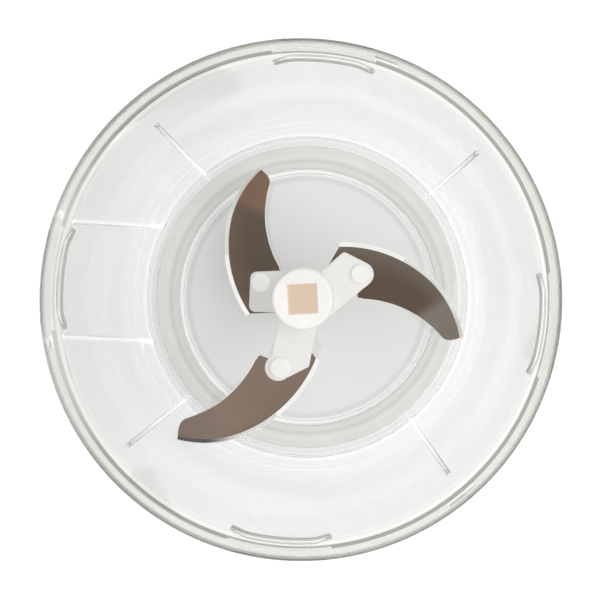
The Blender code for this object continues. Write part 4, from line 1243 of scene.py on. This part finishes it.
def clear_tint_and_painted_shade(tone, x, height, away, lug):
    """The faint mottle of the plastic, times the painted shade of floor, wall, neck and rim."""
    off_rim = combined("ADD", step_mm(away, *INSIDE_RIM, 1, 0), step_mm(height, *UNDER_RIM, 1, 0))
    off_rim = step_at(off_rim, 0, 1)
    wall = product(between(height, FLOOR_END, WALL_END), off_rim)
    neck = product(between(height, *NECK), off_rim, step_mm(past_wall(away, height), *INNER_SKIN))
    band = product(step_mm(height, *BAND_START), step_mm(x, *DIM_SIDE, DIM_BAND, 1))
    line = product(step_mm(height, *LINE_START), step_mm(x, *DIM_SIDE, DIM_LINE, 1))
    line = product(line, step_at(lug, 0, 1, 1, LUG_LINE))
    colour = two_tones(tone, *CLEAR_TONES)
    for mask, tones in (
        (step_mm(height, *FLOOR_END, 1, 0), by_distance(away, FLOOR_PAINTED_SHADE)),
        (wall, by_distance(away, WALL_PAINTED_SHADE)),
        (product(wall, step_mm(x, *WEST_WALL, 1, 0)), WEST_PAINTED_SHADE),
        (neck, NECK_PAINTED_SHADE),
        (band, by_distance(away, BAND_PAINTED_SHADE, RIM_HUE)),
        (line, by_distance(away, LINE_PAINTED_SHADE, RIM_HUE)),
    ):
        colour = tinted(mask, colour, tones)
    return colour


# %% Roughness, painted glow and painted lug-face shade of the clear plastic
WALL_ROUGHNESS = 0.18
ROUGH_WALL = ((10, 16), (88, 94))
LOW_WALL = (60, 76)
LOW_WALL_SHARE = 0.55
CLOUD_SWING = (0.6, 1.4)
RIB_EDGE = 0.2
GRIP_EDGE = 0.06
RIB_GLOW = 0.09
RIB_FADE = (40, 74)
GRIP_GLOW = 0.24
LUG_GLOW = 0.20
LUG_TOP = ((93, 93.6), (96.8, 97.2))
LUG_SIDES = (88.5, 89.5)
LUG_FACE = (74.9, 75.1)
PROUD_TOP = (0.1, 0.3)
PROUD_FACE = (0.25, 0.4)
LUG_FACE_SHADE_SHARE = 0.8
LUG_FACE_PAINTED_SHADE = ((0.40, 0.41, 0.39), (0.46, 0.47, 0.45))
PASSED_LIGHT = (0.945, 0.945, 0.94, 1)


def clear_roughness(tone, height):
    """Cloudy roughness on the wall, less of it low down, and none on floor and rim."""
    clouds = step_at(tone, 0, 1, *CLOUD_SWING)
    rough = product(between(height, *ROUGH_WALL), clouds, step_mm(height, *LOW_WALL, LOW_WALL_SHARE, 1))
    return step_at(rough, 0, 1, 0, WALL_ROUGHNESS)


def clear_painted_glow(height, away, detail):
    """Painted glow: emission that stands for the light lines of the ribs, the grip's ribs and the tops of the
    lugs.
    """
    lug, rib, grip = detail
    ribs = product(step_at(rib, 0, RIB_EDGE), step_mm(height, *RIB_FADE, RIB_GLOW, 0))
    grips = step_at(grip, 0, GRIP_EDGE, 0, GRIP_GLOW)
    behind_face = product(step_mm(away, *LUG_FACE), step_mm(past_wall(away, height), *PROUD_TOP))
    lugs = product(lug, between(height, *LUG_TOP), behind_face, LUG_GLOW)
    return combined("ADD", ribs, grips, lugs)


# %% The clear finish
def clear_finish():
    """Clear plastic with painted shade, painted glow and lug faces painted grey for their shade line, which
    lets lamp light through.
    """
    finish, tree, shader = new_finish("clear_plastic")
    tone, _ = mottled(tree, 35.0, 900.0)
    place = on_piece(tree)
    x, _, height = parts_of(place)
    away = axis_distance(place)
    detail = parts_of(kept_place(tree, "detail"))
    fill(
        shader,
        Base_Color=clear_tint_and_painted_shade(tone, x, height, away, detail[0]),
        Roughness=clear_roughness(tone, height),
        Emission_Color=clear_painted_glow(height, away, detail),
        Emission_Strength=1.0,
        Transmission_Weight=1.0,
        IOR=1.5,
    )
    # Painted shade: the lugs' inner faces get a dull grey that stands for the dark line they show.
    painted_face = node(tree, "BsdfPrincipled", Base_Color=two_tones(tone, *LUG_FACE_PAINTED_SHADE), Roughness=0.5)
    face = product(step_mm(height, *LUG_SIDES), step_mm(away, *LUG_FACE, 1, 0))
    face = product(face, step_mm(past_wall(away, height), *PROUD_FACE))
    share = step_at(face, 0, 1, 0, LUG_FACE_SHADE_SHARE)
    faced = node(tree, "MixShader", share, shader.outputs["BSDF"], painted_face.outputs["BSDF"])
    through = node(tree, "BsdfTransparent", PASSED_LIGHT).outputs["BSDF"]
    rays = node(tree, "LightPath").outputs
    lighting = combined("MAXIMUM", rays["Is Shadow Ray"], rays["Is Diffuse Ray"])
    whole = node(tree, "MixShader", lighting, faced.outputs["Shader"], through)
    feed(tree.nodes["Material Output"].inputs["Surface"], whole.outputs["Shader"])
    print("clear plastic,", len(tree.nodes), "nodes")
    return finish


clear_plastic = clear_finish()

# %% Finish of the soft ring
RING_PAINTED_SHADE = (
    (49.7, 0.82), (50.3, 0.90), (51.4, 0.94), (52.3, 0.82), (53, 0.82), (53.8, 0.96), (54.8, 1),
    (55.7, 0.95), (56.4, 0.93), (57.4, 0.96), (58.1, 0.90),
)
MILKY_TONES = ((0.91, 0.91, 0.885), (0.96, 0.96, 0.935))


def soft_finish():
    """Milky soft plastic, with painted shade rings where its lips and channel show and a painted glow."""
    finish, tree, shader = new_finish("translucent_rubber")
    tone, grain = mottled(tree, 80.0, 1500.0)
    rings = by_distance(axis_distance(on_piece(tree)), RING_PAINTED_SHADE)
    colour = tinted(1.0, two_tones(tone, *MILKY_TONES), rings)
    # Painted glow: the emission stands for light that the milky plastic lets through.
    fill(shader, Base_Color=colour, Emission_Color=colour, Emission_Strength=0.20)
    fill(shader, Roughness=0.5, Normal=bump(grain, 0.2, 0.08 * MM))
    return finish


rubber = soft_finish()

# %% Drawn metal
STREAK_DEPTH = 0.02 * MM
ALONG_PIN = (1500, 1500, 80)
ALONG_SHEET = (60, 90, 0)
ACROSS_BEVEL = (9000, 3, 0)


def drawn(shader, colour, place, stretch, detail, roughness, strength):
    """Turn the shader to metal of this colour, with streaks in its roughness and bump."""
    effect = node(shader.id_data, "Group", node_tree=STREAKS, Vector=place, Stretch=stretch, Detail=detail)
    lines = effect.outputs["Lines"]
    fill(shader, Base_Color=colour, Metallic=1.0)
    fill(shader, Roughness=spread(lines, 0, 1, *roughness), Normal=bump(lines, strength, STREAK_DEPTH))


# %% Finish of the pin
def pin_finish():
    """Ground steel with streaks along the pin."""
    finish, tree, shader = new_finish("pin_steel")
    tone, _ = mottled(tree, 45.0, 1200.0)
    colour = two_tones(tone, (0.55, 0.55, 0.55), (0.66, 0.66, 0.66))
    drawn(shader, colour, on_piece(tree), ALONG_PIN, 4.0, (0.15, 0.28), 0.08)
    return finish


pin_steel = pin_finish()

# %% [markdown]
# ## Blade steel
# The sheet is polished, and its colour carries painted reflections of what stands round
# it: each blade is painted a little different, and the outer end, which is bent down, is
# painted another tone than the root. The bevel is ground bright, with marks across it, and
# its colour carries painted reflections and a painted glow too. The hollows of the teeth
# carry painted shade.

# %% Blade faces
KNEE = (21.5, 26.5)
NEAR_BEVEL = (0.20, 0.30)
BRIGHT_EDGE = (0.92, 0.92, 0.90)
HOLLOW_PAINTED_SHADE = (0.76, 0.76, 0.73, 1)
EDGE_PAINTED_GLOW = 0.16


def blade_face(name, root, tip, lead):
    """Polished sheet with painted reflections: a tone for the root, one for the bent end, and one along the
    bevel.
    """
    finish, tree, shader = new_finish(name)
    tone, _ = mottled(tree, 45.0, 1500.0)
    along = parts_of(kept_place(tree, "blade_place"))[0]
    edge_place = kept_place(tree, "edge_place")
    across = parts_of(edge_place)[1]
    colour = mixed(step_mm(along, *KNEE), shades(tone, root), shades(tone, tip))
    near_bevel = product(step_at(across, *NEAR_BEVEL, 1, 0), step_mm(along, *KNEE, 1, 0))
    colour = mixed(near_bevel, colour, shades(tone, lead))
    drawn(shader, colour, edge_place, ALONG_SHEET, 3.0, (0.16, 0.30), 0.06)
    return finish


# %% Ground bevels
def ground_edge(name, tip, turn_span):
    """Ground bevel: bright at the root, a painted reflection tone at the tip, painted shade in the hollows
    and a painted glow.
    """
    finish, tree, shader = new_finish(name)
    tone, _ = mottled(tree, 90.0, 3000.0)
    edge_place = kept_place(tree, "edge_place")
    along, _, dip = parts_of(edge_place)
    towards_tip = step_at(along, *(share * edge_length for share in turn_span))
    colour = mixed(towards_tip, shades(tone, BRIGHT_EDGE, 0.03), shades(tone, tip))
    colour = tinted(step_at(dip, 0.35, 1.0), colour, HOLLOW_PAINTED_SHADE)
    fill(shader, Emission_Color=colour, Emission_Strength=EDGE_PAINTED_GLOW)
    drawn(shader, colour, edge_place, ACROSS_BEVEL, 3.0, (0.24, 0.42), 0.10)
    return finish


# %% Finishes of the three blades
FACE_PAINTED_REFLECTIONS = {
    "lower": dict(root=(0.115, 0.090, 0.068), tip=(0.205, 0.130, 0.094), lead=(0.155, 0.110, 0.082)),
    "middle": dict(root=(0.120, 0.088, 0.068), tip=(0.205, 0.180, 0.150), lead=(0.175, 0.144, 0.118)),
    "upper": dict(root=(0.245, 0.180, 0.141), tip=(0.225, 0.173, 0.144), lead=(0.225, 0.165, 0.130)),
}
EDGE_PAINTED_REFLECTIONS = {
    "lower": dict(tip=(0.72, 0.72, 0.66), turn_span=(0.62, 0.80)),
    "middle": dict(tip=(0.74, 0.72, 0.68), turn_span=(0.78, 0.95)),
    "upper": dict(tip=(0.14, 0.125, 0.13), turn_span=(0.62, 0.84)),
}
for level_name, blade in blades.items():
    blade.data.materials.append(blade_face(f"{level_name}_steel", **FACE_PAINTED_REFLECTIONS[level_name]))
    blade.data.materials.append(ground_edge(f"{level_name}_ground_edge", **EDGE_PAINTED_REFLECTIONS[level_name]))
print(len(bpy.data.materials), "finishes")

# %% Finishes on the pieces
FINISHES = {
    "bowl": clear_plastic,
    "non_slip_ring": rubber,
    "pivot_pin": pin_steel,
    "pivot_bush": bush_plastic,
    "drive_core": cream_plastic,
    "lower_clamp": low_stud_painted_light,
    "middle_clamp": stud_plastic,
    "upper_clamp": stud_plastic,
}
for level_name, blade in blades.items():
    FINISHES[f"{level_name}_holder"] = white_plastic
    FINISHES[f"{level_name}_blade"] = blade.data.materials[0]


def paint(piece, finish):
    """Put one finish on the whole piece."""
    piece.data.materials.clear()
    piece.data.materials.append(finish)


shown = {"bowl": bowl, "non_slip_ring": soft_ring, "pivot_pin": pin, "pivot_bush": bush, **unit}
for node_name, finish in FINISHES.items():
    paint(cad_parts[node_name], finish)
    if node_name in shown:
        paint(shown[node_name], finish)
print(len(FINISHES), "nodes painted")

# %% [markdown]
# ## Ground, light and camera
# The ground is a white table. A white dome lights everything softly and one wide lamp
# gives the shadows a side. Rays that the clear plastic sends sideways meet a darker belt
# low on the dome, as in a real studio, and that draws the dark lines of the rim together
# with the painted shade of the clear plastic.

# %% Ground
GROUND_HALF = 3.0
GROUND_DROP = 0.05 * MM
CAMERA_GLOW = 0.35
GLASS_GLOW = 0.355
ground_mesh = bpy.data.meshes.new("ground")
ground_corners = ((-1, -1), (1, -1), (1, 1), (-1, 1))
ground_corners = [(x * GROUND_HALF, y * GROUND_HALF, -GROUND_DROP) for x, y in ground_corners]
ground_mesh.from_pydata(ground_corners, [], [(0, 1, 2, 3)])
ground = bpy.data.objects.new("ground", ground_mesh)
bpy.context.scene.collection.objects.link(ground)


# %% Finish of the ground
def ray_kinds(tree):
    """Whether a ray comes from the camera, and whether it comes from gloss or through glass."""
    rays = node(tree, "LightPath").outputs
    return rays["Is Camera Ray"], combined("MAXIMUM", rays["Is Glossy Ray"], rays["Is Transmission Ray"])


def ground_finish():
    """White ground that is a little brighter to the camera and through the clear plastic."""
    finish, tree, shader = new_finish("white_ground")
    tone, _ = mottled(tree, 4.0, 300.0)
    from_camera, from_gloss = ray_kinds(tree)
    glow = combined("MAXIMUM", product(from_gloss, GLASS_GLOW), product(from_camera, CAMERA_GLOW))
    fill(
        shader,
        Base_Color=two_tones(tone, (0.90, 0.90, 0.90), (0.92, 0.92, 0.92)),
        Roughness=0.9,
        Specular_IOR_Level=0.0,
        Emission_Color=glow,
        Emission_Strength=1.0,
    )
    return finish


ground_mesh.materials.append(ground_finish())
print("ground", 2 * GROUND_HALF, "m wide")

# %% World
DOME_LIGHT = 0.655
BELT_SHADE = 0.65
BELT_SPAN = (0.10, 0.42)
world = bpy.data.worlds.new("studio")
bpy.context.scene.world = world
world.use_nodes = True
sky = world.node_tree
sky.nodes.clear()
_, _, rise = parts_of(node(sky, "TexCoord").outputs["Generated"])
belt = step_at(rise, *BELT_SPAN, BELT_SHADE, 1)
from_camera, from_gloss = ray_kinds(sky)
dome = node(sky, "Mix", Factor=from_gloss, A=DOME_LIGHT, B=belt).outputs["Result"]
dome = node(sky, "Mix", Factor=from_camera, A=dome, B=1.0).outputs["Result"]
back = node(sky, "Background", (1, 1, 1, 1), dome)
node(sky, "OutputWorld", back.outputs["Background"])
print("dome", DOME_LIGHT, "belt", BELT_SHADE)

# %% Lamp
LAMP_PLACE = Vector((0.65, -0.05, 1.05))
LAMP_AIM = Vector((0, 0, 0.03))
lamp_data = bpy.data.lights.new("wide_lamp", "AREA")
lamp_data.shape = "DISK"
lamp_data.size = 1.1
lamp_data.energy = 7.0
lamp = bpy.data.objects.new("wide_lamp", lamp_data)
bpy.context.scene.collection.objects.link(lamp)
lamp.location = LAMP_PLACE
lamp.rotation_mode = "QUATERNION"
lamp.rotation_quaternion = (LAMP_AIM - LAMP_PLACE).to_track_quat("-Z", "Y")
lamp.visible_camera = False
lamp.visible_glossy = False
print("lamp", round((LAMP_PLACE - LAMP_AIM).length, 2), "m away")

# %% Camera
FOCAL_PIXELS = 1219.0
PICTURE = 600.0
SENSOR = 36.0
CAMERA_PLACE = (0.0099, 0.0039, 0.475)
CAMERA_PIXEL = (333.0, 287.0)
camera_data = bpy.data.cameras.new("overhead")
camera_data.sensor_width = SENSOR
camera_data.lens = FOCAL_PIXELS / PICTURE * SENSOR
camera_data.shift_x = 0.5 - CAMERA_PIXEL[0] / PICTURE
camera_data.shift_y = CAMERA_PIXEL[1] / PICTURE - 0.5
camera = bpy.data.objects.new("overhead", camera_data)
camera.location = CAMERA_PLACE
bpy.context.scene.collection.objects.link(camera)
bpy.context.scene.camera = camera
bpy.context.scene.view_settings.view_transform = "Standard"
print("lens", round(camera_data.lens, 2), "mm")

# %% Light paths
# Light that runs on inside the clear ribs and lugs meets their faces many times.
BOUNCES = 32
paths = bpy.context.scene.cycles
paths.max_bounces = BOUNCES
paths.transmission_bounces = BOUNCES
paths.glossy_bounces = BOUNCES
print("up to", BOUNCES, "bounces")
